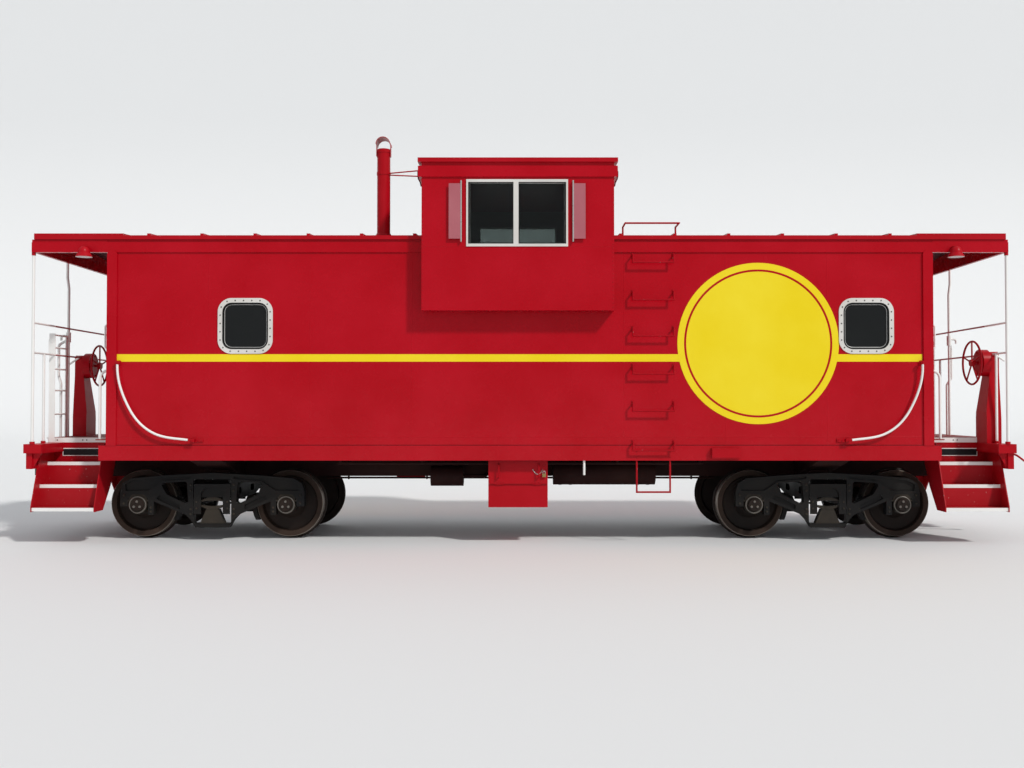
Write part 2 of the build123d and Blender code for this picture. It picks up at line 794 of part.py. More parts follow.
# Window frames: a flange on the face of the wall and a sleeve through it, round one pane.
frame_stand = 11.0
with BuildPart() as window_side:
    for x in side_window_x:
        window_loop(x, 0, -half_width, frame_stand)
        window_loop(x, side_window_rebate, -inner_half, wall)
        window_loop(x, side_window_border, -inner_half + 1, wall + frame_stand + 2, Mode.SUBTRACT)

with BuildPart() as window_frames:
    add(window_side.part)
    add(window_side.part, rotation=(0, 0, 180))
save(window_frames, "side_window_frames")

pane_y = half_width - 18
with BuildPart() as pane_side:
    for x in side_window_x:
        window_loop(x, side_window_border, -pane_y, 6)

with BuildPart() as window_panes:
    add(pane_side.part)
    add(pane_side.part, rotation=(0, 0, 180))
save(window_panes, "side_window_panes")

# Cupola window frames: two sliding sashes in each side, and a light frame in each end light.
mullion_x = -47.0
mullion = 75.0
sash_bar = 45.0
with BuildPart() as cupola_frames:
    cupola_opening(0, -cupola_half - frame_stand, frame_stand)
    cupola_opening(window_lap, -cupola_half, cupola_wall)
    left, right, low, high = cupola_window
    for x_from, x_to in ((left + sash_bar, mullion_x - mullion / 2),
                         (mullion_x + mullion / 2, right - sash_bar)):
        block((x_from, x_to), (-cupola_half - frame_stand - 1, -cupola_half + cupola_wall + 1),
              (low + sash_bar, high - sash_bar), Mode.SUBTRACT)
    mirror(about=Plane.XZ)
    for x in cupola_end_x:
        for side in (-1, 1):
            width, height, corner = cupola_end_window
            spot = (side * cupola_end_window_y, cupola_end_window_z)
            bar(across(x), width, height, cupola_wall, spot, Mode.ADD, corner)
            bar(across(x), width - 60, height - 60, cupola_wall, spot, Mode.SUBTRACT, corner - 30)
save(cupola_frames, "cupola_window_frames")

with BuildPart() as cupola_panes:
    for number, (x_from, x_to) in enumerate(((left + sash_bar, mullion_x - mullion / 2),
                                             (mullion_x + mullion / 2, right - sash_bar))):
        y = -cupola_half + 10 + number * 14
        block((x_from, x_to), (y, y + 6), (low + sash_bar, high - sash_bar))
    mirror(about=Plane.XZ)
    for x in cupola_end_x:
        for side in (-1, 1):
            width, height, corner = cupola_end_window
            spot = (side * cupola_end_window_y, cupola_end_window_z)
            bar(across(x + cupola_wall / 2 - 3), width - 60, height - 60, 6, spot, Mode.ADD, corner - 30)
save(cupola_panes, "cupola_window_panes")

# Wind deflectors: a tinted pane on a rod, one each side of the cupola's side windows.
deflector_rod = 9.0
with BuildPart() as wind_deflectors:
    for rod_x, reach in ((-697.0, -146.0), (629.0, 146.0)):
        y = -cupola_half - 32
        rod([(rod_x, y, 3605), (rod_x, y, 4332)], deflector_rod)
        block(sorted((rod_x, rod_x + reach)), (y - 4, y + 4), (3640, 4296))
        for z in (3612, 4325):
            rod([(rod_x, -cupola_half, z), (rod_x, y, z)], 8)
    mirror(about=Plane.XZ)
save(wind_deflectors, "wind_deflectors")

# Cupola deck: a raised floor on each side for the lookouts, with a seat facing each way.
deck_z = 2330.0
deck_inner = 420.0
with BuildPart() as cupola_deck:
    block((cupola_a + 60, cupola_b - 60), (-inner_half, -deck_inner), (deck_z, deck_z + 40))
    for x in (cupola_a + 60, cupola_b - 100):
        block((x, x + 40), (-inner_half, -deck_inner), (floor_top, deck_z))
    mirror(about=Plane.XZ)
save(cupola_deck, "cupola_deck")

seat_z = deck_z + 40
with BuildPart() as cupola_seats:
    for side in (-1, 1):
        x = side * 520 - 25
        block((x - 220, x + 220), (-1180, -720), (seat_z + 330, seat_z + 430))
        back = x - side * 250
        block((back - 50, back + 50), (-1180, -720), (seat_z + 330, seat_z + 1000))
        block((x - 170, x + 170), (-1120, -780), (seat_z, seat_z + 330))
    mirror(about=Plane.XZ)
save(cupola_seats, "cupola_seats")

# Smoke jack: a stove pipe through the roof with a half-round hood and two braces.
jack_x = -1710.0
jack_y = -900.0
jack_radius = 82.0
jack_rise = 275.0
jack_top = cupola_eave_z + jack_rise
hood_z = jack_top + 50
hood_radius = 90.0
hood_sheet = 6.0
brace_jack_z = jack_top - 310
brace_z = cupola_eave_z - roof_sheet / 2
brace_x = cupola_a - cupola_roof_overhang
brace_radius = 8.0
with BuildPart() as smoke_jack:
    with BuildSketch(Plane.XY.offset(eave_z)) as pipe:
        with Locations((jack_x, jack_y)):
            Circle(jack_radius)
    extrude(pipe.sketch, amount=jack_top - eave_z)
    add(main_roof.part, mode=Mode.SUBTRACT)
    with BuildSketch(Plane.XY.offset(jack_top - 400)) as flue:
        with Locations((jack_x, jack_y)):
            Circle(jack_radius - hood_sheet)
    extrude(flue.sketch, amount=500, mode=Mode.SUBTRACT)
    with BuildSketch(along(jack_y + 110)) as hood:
        with Locations((jack_x, hood_z)):
            Circle(hood_radius)
            Circle(hood_radius - hood_sheet, mode=Mode.SUBTRACT)
        with Locations((jack_x, hood_z + 100)):
            Rectangle(400, 200, mode=Mode.INTERSECT)
    extrude(hood.sketch, amount=220)
    for side in (-1, 1):
        x = jack_x + side * (hood_radius - hood_sheet / 2)
        block((x - hood_sheet / 2, x + hood_sheet / 2), (jack_y - 40, jack_y + 40), (jack_top - 90, hood_z))
        block(sorted((jack_x + side * (jack_radius - 3), x)), (jack_y - 40, jack_y + 40),
              (jack_top - 90, jack_top - 70))
    for brace_y in (jack_y - 180, jack_y + 180):
        rod([(jack_x + 30, jack_y + (brace_y - jack_y) * 0.2, brace_jack_z),
             (brace_x + 10, brace_y, brace_z)], brace_radius)
    with BuildSketch(Plane.XY.offset(jack_top - 480)) as clear_flue:
        with Locations((jack_x, jack_y)):
            Circle(jack_radius - hood_sheet)
    extrude(clear_flue.sketch, amount=470, mode=Mode.SUBTRACT)
    add(cupola_roof.part, mode=Mode.SUBTRACT)
save(smoke_jack, "smoke_jack")

# Side ladders: drop grab irons up the side, a stirrup below and a grab rail on the roof.
ladder_x = (1350.0, 1840.0)
grab_heights = (3383.0, 2935.0, 2503.0, 2048.0, 1604.0, 1134.0)
grab_stand = 75.0
grab_foot = 90.0
stirrup_x = (1400.0, 1800.0)
stirrup_z = 631.0
roof_grab = (1270.0, 1920.0, 3870.0)
with BuildPart() as ladder_side:
    out = -half_width - grab_stand
    for z in grab_heights:
        foot_z = z + grab_foot
        rod([(ladder_x[0], -half_width, foot_z), (ladder_x[0], out, foot_z), (ladder_x[0], out, z),
             (ladder_x[1], out, z), (ladder_x[1], out, foot_z), (ladder_x[1], -half_width, foot_z)],
            rod_radius)
    stirrup_y = -half_width + 12
    rod([(stirrup_x[0], stirrup_y, sill_bottom), (stirrup_x[0], stirrup_y, stirrup_z),
         (stirrup_x[1], stirrup_y, stirrup_z), (stirrup_x[1], stirrup_y, sill_bottom)], rod_radius)
    left, right, top = roof_grab
    near, far = -half_width + 30, -half_width + 330
    rod([(left, far, eave_z), (left, far, top), (left, near, top), (right, near, top),
         (right, far, top), (right, far, eave_z)], rod_radius)

with BuildPart() as ladders:
    add(ladder_side.part)
    add(ladder_side.part, rotation=(0, 0, 180))
    add(main_roof.part, mode=Mode.SUBTRACT)
save(ladders, "side_ladders")

# Corner handrails: a curved pipe at each corner of the sides, on a bracket at each end.
handrail_radius = 14.0
handrail_stand = 62.0
handrail_route = [
    (half_length - 150, 2185),
    (half_length - 160, 2000),
    (half_length - 260, 1700),
    (half_length - 400, 1480),
    (half_length - 630, 1320),
    (half_length - 960, 1262),
    (half_length - 1045, 1250),
]
with BuildPart() as handrail:
    route_y = -half_width - handrail_stand
    with BuildLine() as handrail_line:
        Spline(*[(x, route_y, z) for x, z in handrail_route])
    with BuildSketch(Plane(handrail_line.line @ 0, z_dir=handrail_line.line % 0)) as handrail_section:
        Circle(handrail_radius)
    sweep(sections=handrail_section.sketch, path=handrail_line.line)
    for x, z in (handrail_route[0], handrail_route[-1]):
        with BuildSketch(along(-half_width)) as foot:
            with Locations((x, z)):
                Circle(26)
        extrude(foot.sketch, amount=12)
        rod([(x, -half_width, z), (x, route_y, z)], handrail_radius - 3)

with BuildPart() as handrails:
    add(handrail.part)
    mirror(about=Plane.XZ)
    mirror(about=Plane.YZ)
save(handrails, "corner_handrails")

# Platforms: a deck at each end on two stringers, with a nosing over the step wells.
deck_half = half_width - step_count * step_run
deck_nosing = 60.0
stringer_y = 640.0
with BuildPart() as platform:
    block((half_length, platform_end), (-deck_half, deck_half), (floor_top - deck_plate, floor_top))
    block((half_length, step_inner_x), (-half_width, half_width), (floor_top - deck_plate, floor_top))
    for side in (-1, 1):
        nosing = sorted((side * deck_half, side * (deck_half - 12)))
        block((step_inner_x, step_outer_x), nosing, (floor_top - deck_nosing, floor_top - deck_plate))
        web = sorted((side * stringer_y, side * (stringer_y - 20)))
        block((half_length, platform_end - end_beam_width), web, (end_beam[0], floor_top - deck_plate))

with BuildPart() as platforms:
    add(platform.part)
    mirror(about=Plane.YZ)
save(platforms, "platforms")

# End sills: a box beam across each end with a deeper channel and the coupler striker below.
beam_inner_x = platform_end - end_beam_width
striker_half = 230.0
with BuildPart() as end_sill:
    block((beam_inner_x, platform_end), (-half_width, half_width), end_beam)
    block((beam_inner_x, platform_end - 20), (-deck_half, deck_half),
          (end_beam[1], floor_top - deck_plate))
    block((platform_end - 90, platform_end - 20), (-half_width + 30, half_width - 30),
          (end_sill_bottom, end_beam[0]))
    for side in (-1, 1):
        plate(along(side * (half_width - 60) + 5),
              [(platform_end - 90, end_beam[0]), (platform_end - 90, end_sill_bottom),
               (beam_inner_x + 20, end_beam[0])], 10)
    block((beam_inner_x, platform_end + 20), (-striker_half, striker_half),
          (draft_sill_bottom - 20, end_beam[0]))
    block((beam_inner_x - 1, platform_end + 21), (-sill_half + draft_sill_web, sill_half - draft_sill_web),
          (draft_sill_bottom + 10, draft_sill_top - draft_sill_web), Mode.SUBTRACT)
    block((platform_end - 90, platform_end), (-sill_half + draft_sill_web, sill_half - draft_sill_web),
          (draft_sill_bottom + 10, coupler_z - shank[1] / 2 - plate_gap))

# Uncoupling lever: a bent rod in two brackets, from the side of the car to the coupler.
lever_x = platform_end + 34.0
lever_z = 1075.0
lever_radius = 12.0
lever_bend = 45.0
lever_brackets = (-1180.0, -330.0)
with BuildPart() as lever:
    rod([(lever_x + 190, -1380, lever_z - 160), (lever_x, -1330, lever_z), (lever_x, -190, lever_z),
         (lever_x + 190, -120, lever_z + 60)], lever_radius, lever_bend)
    for y in lever_brackets:
        block((platform_end - 20, lever_x + 22), (y - 8, y + 8), (lever_z - 26, lever_z + 26))
    block((platform_end - 20, platform_end + 8), (lever_brackets[0] - 40, lever_brackets[0] + 40),
          (end_sill_bottom + 30, lever_z + 30))

with BuildPart() as end_sills:
    for turned in (0, 180):
        add(end_sill.part, rotation=(0, 0, turned))
        add(lever.part, rotation=(0, 0, turned))
    add(platforms.part, mode=Mode.SUBTRACT)
save(end_sills, "end_sills")

# Steps: three treads with closed risers between two cheek plates, at each corner.
tread_nosing = 40.0
cheek_front_foot = half_width + 10.0
cheek_front_head = half_width - 220.0
cheek_outline = [
    (-cheek_front_foot, first_tread_z - tread_nosing - 8),
    (-cheek_front_foot, first_tread_z + 20),
    (-cheek_front_head, end_beam[0]),
    (-deck_half, end_beam[0]),
    (-deck_half, first_tread_z + 2 * step_rise - tread_nosing),
    (-half_width + 470, first_tread_z + 230),
    (-half_width + 240, first_tread_z - tread_nosing - 8),
]
with BuildPart() as step_corner:
    for x in (step_inner_x, step_outer_x - step_plate):
        plate(across(x), cheek_outline, step_plate)
    block((step_inner_x, step_inner_x + step_plate), (-cheek_front_head + 40, -deck_half),
          (end_beam[0], floor_top - deck_nosing))
    for number in range(step_count):
        front = -half_width + number * step_run
        top = first_tread_z + number * step_rise
        back = front + step_run
        block((step_inner_x, step_outer_x), (front, back + 6), (top - 8, top))
        block((step_inner_x, step_outer_x), (front, front + 8), (top - tread_nosing, top))
        riser_top = top + step_rise - 8 if number < step_count - 1 else floor_top - deck_nosing
        block((step_inner_x, step_outer_x), (back, back + 6), (top - 8, riser_top))
    add(end_sills.part, mode=Mode.SUBTRACT)
    add(platforms.part, mode=Mode.SUBTRACT)

with BuildPart() as steps:
    add(step_corner.part)
    mirror(about=Plane.XZ)
    mirror(about=Plane.YZ)
save(steps, "platform_steps")

# Brake stands: a tapered column on each end sill, beside the coupler at one end and over
# the near corner at the other.
stand_places = {"a": (-1, 50.0), "b": (1, -930.0)}
stand_top = 2335.0
stand_x = (platform_end - 205, platform_end - 25)
stand_base_half = 155.0
stand_head_half = 100.0
stand_head_depth = 115.0
gear_case_radius = 165.0
gear_case_depth = 95.0
wheel_hub_z = 2200.0
wheel_hub_x = platform_end - 315
stand_head_x = stand_x[1] - stand_head_depth
spindle_radius = 16.0
spindle_seat = 60.0
stand_column = [
    (-stand_base_half, end_beam[1]),
    (-stand_base_half, floor_top + 250),
    (-stand_head_half, stand_top - 260),
    (-stand_head_half, stand_top - 30),
    (-stand_head_half + 30, stand_top),
    (stand_head_half - 30, stand_top),
    (stand_head_half, stand_top - 30),
    (stand_head_half, stand_top - 260),
    (stand_base_half, floor_top + 250),
    (stand_base_half, end_beam[1]),
]
with BuildPart() as brake_stands:
    for end, y in stand_places.values():
        outline = [(y + offset, z) for offset, z in stand_column]
        plate(across(end * stand_x[0]), outline, end * (stand_x[1] - stand_x[0]))
        plate(along(y + stand_base_half + 10),
              [(end * (stand_x[0] - 10), floor_top + 250), (end * (stand_x[0] - 10), stand_top + 10),
               (end * stand_head_x, stand_top + 10), (end * stand_head_x, stand_top - 260)],
              2 * stand_base_half + 20, Mode.SUBTRACT)
        with BuildSketch(across(end * stand_head_x)) as case:
            with Locations((y, wheel_hub_z)):
                Circle(gear_case_radius)
        extrude(case.sketch, amount=-end * gear_case_depth)
        with BuildSketch(across(end * (stand_head_x - gear_case_depth - 1))) as bore:
            with Locations((y, wheel_hub_z)):
                Circle(spindle_radius + plate_gap)
        extrude(bore.sketch, amount=end * (spindle_seat + 10), mode=Mode.SUBTRACT)
        lever_y = y - stand_head_half - 8
        rod([(end * (stand_x[1] - 65), lever_y, stand_top - 25),
             (end * (stand_x[1] + 65), lever_y, stand_top - 115)], lever_radius)
    add(platforms.part, mode=Mode.SUBTRACT)
    add(end_sills.part, mode=Mode.SUBTRACT)
save(brake_stands, "brake_stands")

# Hand brake wheels: a round rim on five spokes, on a spindle in the stand.
brake_wheel_radius = 280.0
brake_rim_radius = 13.0
for end, (side, y) in stand_places.items():
    hub_x = side * wheel_hub_x
    with BuildPart() as brake_wheel:
        with Locations(Location((hub_x, 0, 0), (0, 90, 0))):
            Torus(brake_wheel_radius - brake_rim_radius, brake_rim_radius)
        for number in range(5):
            angle = math.radians(90 + 72 * number)
            reach = brake_wheel_radius - brake_rim_radius
            rod([(hub_x, 30 * math.cos(angle), 30 * math.sin(angle)),
                 (hub_x, reach * math.cos(angle), reach * math.sin(angle))], 10)
        with BuildSketch(across(hub_x - side * 24)) as hub:
            Circle(42)
        extrude(hub.sketch, amount=side * 48)
        with BuildSketch(across(hub_x)) as spindle:
            Circle(spindle_radius)
        extrude(spindle.sketch, amount=side * (stand_head_x - gear_case_depth + spindle_seat - wheel_hub_x))
    with BuildPart() as placed:
        with Locations((0, y, wheel_hub_z)):
            add(brake_wheel.part)
    save(placed, "brake_wheel_" + end)

# End railings: corner posts up to the canopy, short posts and two rods across the end.
low_rail_z = 2305.0
high_rail_z = 2665.0
post_y = half_width - 15.0
short_post_y = half_width - 305.0
short_post_radius = 16.0
inner_post_y = 590.0
with BuildPart() as railing:
    for side in (-1, 1):
        rod([(rail_x, side * post_y, end_beam[1]), (rail_x, side * post_y, fascia_bottom)], post_radius)
        rod([(rail_x, side * short_post_y, end_beam[1]), (rail_x, side * short_post_y, low_rail_z)],
            short_post_radius)
    for z in (low_rail_z, high_rail_z):
        rod([(rail_x, -post_y, z), (rail_x, post_y, z)], rod_radius)

with BuildPart() as railings:
    add(railing.part)
    mirror(about=Plane.YZ)
    rod([(rail_x, inner_post_y, floor_top), (rail_x, inner_post_y, low_rail_z)], short_post_radius)
    add(brake_stands.part, mode=Mode.SUBTRACT)
save(railings, "end_railings")

# End ladders: two flat stiles with rungs outside the railing, up to the canopy.
ladder_plane_x = rail_x + rod_radius + 12.0
ladder_top = 2575.0
stile = (60.0, 12.0)
rung_heights = (1560.0, 1860.0, 2130.0, 2400.0, 2560.0)
ladder_places = [
    # side of the car's middle, first stile, second stile, foot
    (-1, -800.0, -420.0, floor_top),
    (1, 870.0, 1250.0, end_beam[1]),
]
with BuildPart() as end_ladders:
    for side, first_y, second_y, foot_z in ladder_places:
        inner_x, outer_x = ladder_plane_x - stile[1] / 2, ladder_plane_x + stile[1] / 2
        for y in (first_y, second_y):
            block(sorted((side * inner_x, side * outer_x)), (y - stile[0] / 2, y + stile[0] / 2),
                  (foot_z, ladder_top))
            block(sorted((side * inner_x, side * (rail_x + rod_radius - 2))), (y - 20, y + 20),
                  (low_rail_z - 5, low_rail_z + 5))
        for z in rung_heights:
            rod([(side * ladder_plane_x, first_y, z), (side * ladder_plane_x, second_y, z)], rod_radius)
    add(railings.part, mode=Mode.SUBTRACT)
save(end_ladders, "end_ladders")

# Signal pipes: an air pipe from the canopy down to the deck beside each end ladder, with
# a whistle valve, and the curved handrail at the body end wall.
pipe_y = 354.0
pipe_radius = 17.0
pipe_x = rail_x + rod_radius + pipe_radius + 1
pipe_head_x = roof_end + 35.0
pipe_head_z = fascia_top + 10
valve_z = (2490.0, 2620.0)
branch_x = pipe_x + 75
branch_foot_x = pipe_x + 28
branch_y = (pipe_y + 112, pipe_y + 150)
handrail_reach = 112.0
handrail_y = half_width - 80.0
handrail_head_z = 2090.0
with BuildPart() as signal_pipe:
    rod([(pipe_head_x, pipe_y, pipe_head_z), (pipe_head_x, pipe_y, 3330), (pipe_x, pipe_y, 3190),
         (pipe_x, pipe_y, floor_top)], pipe_radius, 60)
    block((roof_end, pipe_head_x), (pipe_y - 25, pipe_y + 25), (fascia_bottom + 40, fascia_bottom + 70))
    rod([(pipe_x, pipe_y, valve_z[0] + 40), (branch_x, branch_y[0], valve_z[0] - 40),
         (branch_x, branch_y[0], 2050), (branch_foot_x, branch_y[1], 1950),
         (branch_foot_x, branch_y[1], floor_top)], pipe_radius, 40)
    with BuildSketch(Plane.XY.offset(valve_z[0])) as valve:
        with Locations((pipe_x, pipe_y)):
            Circle(30)
    extrude(valve.sketch, amount=valve_z[1] - valve_z[0])
    rod([(pipe_x, pipe_y, valve_z[1] - 45), (pipe_x + 95, pipe_y, valve_z[1] - 45),
         (pipe_x + 95, pipe_y, valve_z[0] + 25)], 15, 30)
    for side in (-1, 1):
        rod([(half_length, side * handrail_y, handrail_head_z),
             (half_length + handrail_reach, side * handrail_y, handrail_head_z),
             (half_length + handrail_reach, side * handrail_y, floor_top)], 16, 100)
        rod([(half_length, side * handrail_y, 2360), (half_length + 55, side * handrail_y, 2360),
             (half_length + 55, side * handrail_y, 2640), (half_length, side * handrail_y, 2640)],
            rod_radius, 25)

with BuildPart() as signal_pipes:
    add(signal_pipe.part)
    add(signal_pipe.part, rotation=(0, 0, 180))
    add(end_walls.part, mode=Mode.SUBTRACT)
    add(platforms.part, mode=Mode.SUBTRACT)
    add(main_roof.part, mode=Mode.SUBTRACT)
save(signal_pipes, "end_pipes_and_handrails")

# Eave lamps: a bell-shaped hood on each canopy side, near the body end.
lamp_x = half_length + 240
lamp_y = half_width + fascia_stand
with BuildPart() as lamp:
    with BuildSketch(Plane.XZ) as bell:
        with BuildLine():
            Polyline((0, 0), (0, 120), (38, 120))
            ThreePointArc((38, 120), (62, 88), (70, 50))
            Polyline((70, 50), (95, 8), (95, 0), (0, 0))
        make_face()
    revolve(bell.sketch, axis=Axis.Z)
with BuildPart() as lamp_corner:
    with Locations((lamp_x, -lamp_y - 96, 3440)):
        add(lamp.part)
    block((lamp_x - 20, lamp_x + 20), (-lamp_y - 96, -lamp_y), (3540, 3575))

with BuildPart() as lamps:
    add(lamp_corner.part)
    mirror(about=Plane.XZ)
    mirror(about=Plane.YZ)
save(lamps, "eave_lamps")

# Tool box under the near sill: an open-topped bin whose upper front drops on hinges.
box_x = (-383.0, 335.0)
box_z = (439.0, 1005.0)
box_seam = 714.0
box_inset = 120.0
box_depth = 620.0
box_y = (-half_width + box_inset, -half_width + box_inset + box_depth)
box_sheet = 12.0
door_sheet = 14.0
box_hinge_radius = 7.0
box_hinge_y = box_y[0] - box_hinge_radius - 1.5
box_hinge_z = box_seam
box_barrel = 36.0
box_hinge_places = (box_x[0] + 130, box_x[1] - 130)
with BuildPart() as tool_box:
    block(box_x, box_y, box_z)
    block((box_x[0] + box_sheet, box_x[1] - box_sheet), (box_y[0] + box_sheet, box_y[1] - box_sheet),
          (box_z[0] + box_sheet, box_z[1] - box_sheet), Mode.SUBTRACT)
    block((box_x[0] + box_sheet, box_x[1] - box_sheet), (box_y[0] - 1, box_y[0] + box_sheet),
          (box_seam + 20, box_z[1] - 20), Mode.SUBTRACT)
    for x in (box_x[0] + 60, box_x[1] - 100):
        block((x, x + 40), (box_y[0] + 60, box_y[0] + 100), (box_z[1], sill_bottom + 14))
        block((x, x + 40), (box_y[1] - 100, box_y[1] - 60), (box_z[1], sill_top))
    add(underframe.part, mode=Mode.SUBTRACT)
    add(side_sills.part, mode=Mode.SUBTRACT)
    for x in box_hinge_places:
        for side in (-1, 1):
            middle = x + side * (box_barrel + plate_gap)
            with BuildSketch(across(middle - box_barrel / 2)) as ring:
                with Locations((box_hinge_y, box_hinge_z)):
                    Circle(box_hinge_radius)
            extrude(ring.sketch, amount=box_barrel)
            block((middle - box_barrel / 2, middle + box_barrel / 2), (box_hinge_y, box_y[0]),
                  (box_hinge_z - box_hinge_radius, box_hinge_z - 1))
save(tool_box, "tool_box")

with BuildPart() as tool_box_door:
    front = (box_y[0] - 6 - door_sheet, box_y[0] - 6)
    block((box_x[0] + 2, box_x[1] - 2), front, (box_hinge_z + 10, box_z[1] - 6))
    for x in box_hinge_places:
        with BuildSketch(across(x - box_barrel / 2)) as ring:
            with Locations((box_hinge_y, box_hinge_z)):
                Circle(box_hinge_radius)
        extrude(ring.sketch, amount=box_barrel)
        block((x - box_barrel / 2, x + box_barrel / 2), (box_hinge_y - 6, box_hinge_y),
              (box_hinge_z, box_hinge_z + 12))
    for x in (box_x[0] + 127, box_x[1] - 108):
        rod([(x, front[0], box_z[1] - 40), (x, front[0] - 45, box_z[1] - 55),
             (x, front[0] - 45, box_z[1] - 190), (x, front[0], box_z[1] - 205)], 8)
    block((box_x[1] - 60, box_x[1] - 30), (front[0] - 12, front[0]), (box_z[1] - 150, box_z[1] - 60))
save(tool_box_door, "tool_box_door")

# Brake gear: the air tank on two straps, the brake cylinder with its lever, and a drain pipe.
tank_x = (430.0, 1750.0)
tank_radius = 150.0
tank_y = -330.0
tank_z = 790.0
cylinder_x = -1150.0
cylinder_y = -420.0
cylinder_z = 760.0
drain_x = 770.0
brake_pipe_radius = 21.0
pipe_turn_x = platform_end - 330.0
pipe_bend = 60.0
cock_radius = 30.0
hose_radius = 22.0
hose_bend = 190.0
hose_y = -330.0
hose_route = [
    (platform_end + 50, hose_y, 812),
    (platform_end + 215, hose_y, 812),
    (platform_end + 262, hose_y + 90, 560),
    (platform_end + 235, hose_y + 160, 440),
]
with BuildPart() as brake_gear:
    with BuildSketch(across(tank_x[0])) as shell:
        with Locations((tank_y, tank_z)):
            Circle(tank_radius)
    extrude(shell.sketch, amount=tank_x[1] - tank_x[0])
    for x in (tank_x[0] + 200, tank_x[1] - 250):
        block((x, x + 50), (tank_y - 30, tank_y + 30), (tank_z, sill_top))
    with BuildSketch(across(cylinder_x)) as barrel_end:
        with Locations((cylinder_y, cylinder_z)):
            Circle(130)
    extrude(barrel_end.sketch, amount=420)
    rod([(cylinder_x + 420, cylinder_y, cylinder_z), (-430, cylinder_y, cylinder_z)], 22)
    block((-470, -430), (-560, 120), (cylinder_z - 15, cylinder_z + 15))
    for x in (cylinder_x + 90, cylinder_x + 290):
        block((x, x + 50), (cylinder_y - 30, cylinder_y + 30), (cylinder_z + 40, sill_top))
    rod([(drain_x, -half_width + 20, sill_bottom), (drain_x, -half_width + 20, 835)], 14)
    for side in (-1, 1):
        hose = [(side * x, side * y, z) for x, y, z in hose_route]
        cock_x, pipe_z = side * (platform_end - 60), hose[0][2]
        rod([(cock_x, side * hose_y, pipe_z), hose[0]], cock_radius)
        rod([(cock_x + side * 10, side * hose_y, pipe_z), (side * pipe_turn_x, side * hose_y, pipe_z),
             (side * pipe_turn_x, side * (draft_sill_web / 2 - sill_half), pipe_z)],
            brake_pipe_radius, pipe_bend)
        hanger = sorted((side * hose_y - 36, side * hose_y + 36))
        block(sorted((cock_x, cock_x + side * 20)), hanger, (pipe_z - 40, end_sill_bottom + 20))
        foot = Vector(*hose[-1])
        lead = (foot - Vector(*hose[-2])).normalized()
        tip = foot + lead * 90
        rod([tuple(foot), tuple(tip)], hose_radius + 7)
        block((tip.X - 18, tip.X + 18), sorted((tip.Y - 45, tip.Y + 20)), (tip.Z - 45, tip.Z + 40))
    for seat in (underframe, side_sills, end_sills):
        add(seat.part, mode=Mode.SUBTRACT)
save(brake_gear, "brake_gear")

for name, side in (("air_hose_a", -1), ("air_hose_b", 1)):
    with BuildPart() as air_hose:
        cock = [(side * x, side * y, z) for x, y, z in hose_route]
        rod(cock, hose_radius, hose_bend)
    save(air_hose, name)
    print(name, "length", round(air_hose.part.volume / (math.pi * hose_radius**2), 1))

# Couplers: a head on a long shank that swings in the centre sill, and its knuckle.
jaw_radius = 52.0
knuckle_radius = 45.0
knuckle_pin = (-75.0, -125.0)
head_outline = [
    (-340, -shank[0] / 2),
    (-250, -165),
    (-118, -178),
    (-118, -60),
    (-168, -30),
    (-168, 45),
    (-70, 84),
    (8, 130),
    (0, 178),
    (-60, 205),
    (-200, 172),
    (-340, shank[0] / 2),
]
knuckle_arm = [
    (-98, -92),
    (-40, -164),
    (-16, -150),
    (0, -110),
    (0, -34),
    (-14, 4),
    (-50, 20),
    (-82, -6),
    (-78, -48),
    (-94, -70),
]
pin_x = coupler_face + knuckle_pin[0]
with BuildPart() as coupler:
    plate(Plane.XY.offset(coupler_z - coupler_height / 2),
          [(coupler_face + u, v) for u, v in head_outline], coupler_height)
    with BuildSketch(Plane.XY.offset(coupler_z - coupler_height / 2)) as lugs:
        with Locations((pin_x, knuckle_pin[1])):
            Circle(jaw_radius)
            with Locations((-40, 0)):
                Rectangle(90, 2 * jaw_radius)
    extrude(lugs.sketch, amount=coupler_height)
    with BuildSketch(Plane.XY.offset(coupler_z - coupler_height / 2 + 34)) as pocket:
        with Locations((pin_x, knuckle_pin[1])):
            Circle(jaw_radius + 8)
            with Locations((jaw_radius, 0)):
                Rectangle(2 * jaw_radius, 2 * jaw_radius + 16)
    extrude(pocket.sketch, amount=coupler_height - 68, mode=Mode.SUBTRACT)
    with BuildSketch(Plane.XY.offset(coupler_z - coupler_height / 2)) as pin:
        with Locations((pin_x, knuckle_pin[1])):
            Circle(17)
    extrude(pin.sketch, amount=coupler_height)
    block((coupler_pivot_x, coupler_face - 330), (-shank[0] / 2, shank[0] / 2),
          (coupler_z - shank[1] / 2, coupler_z + shank[1] / 2))
    with BuildSketch(Plane.XY.offset(coupler_z - shank[1] / 2)) as butt:
        with Locations((coupler_pivot_x, 0)):
            Circle(shank[0] / 2)
    extrude(butt.sketch, amount=shank[1])
    with BuildSketch(Plane.XY.offset(coupler_z - shank[1] / 2)) as pin_bore:
        with Locations((coupler_pivot_x, 0)):
            Circle(draft_pin_radius + plate_gap)
    extrude(pin_bore.sketch, amount=shank[1], mode=Mode.SUBTRACT)

with BuildPart() as knuckle:
    floor_z = coupler_z - coupler_height / 2 + 34 + moving_gap
    tall = coupler_height - 2 * (34 + moving_gap)
    plate(Plane.XY.offset(floor_z), [(coupler_face + u, v) for u, v in knuckle_arm], tall)
    with BuildSketch(Plane.XY.offset(floor_z)) as knuckle_hub:
        with Locations((pin_x, knuckle_pin[1])):
            Circle(knuckle_radius)
    extrude(knuckle_hub.sketch, amount=tall)
    with BuildSketch(Plane.XY.offset(floor_z)) as pin_hole:
        with Locations((pin_x, knuckle_pin[1])):
            Circle(17 + plate_gap)
    extrude(pin_hole.sketch, amount=tall, mode=Mode.SUBTRACT)

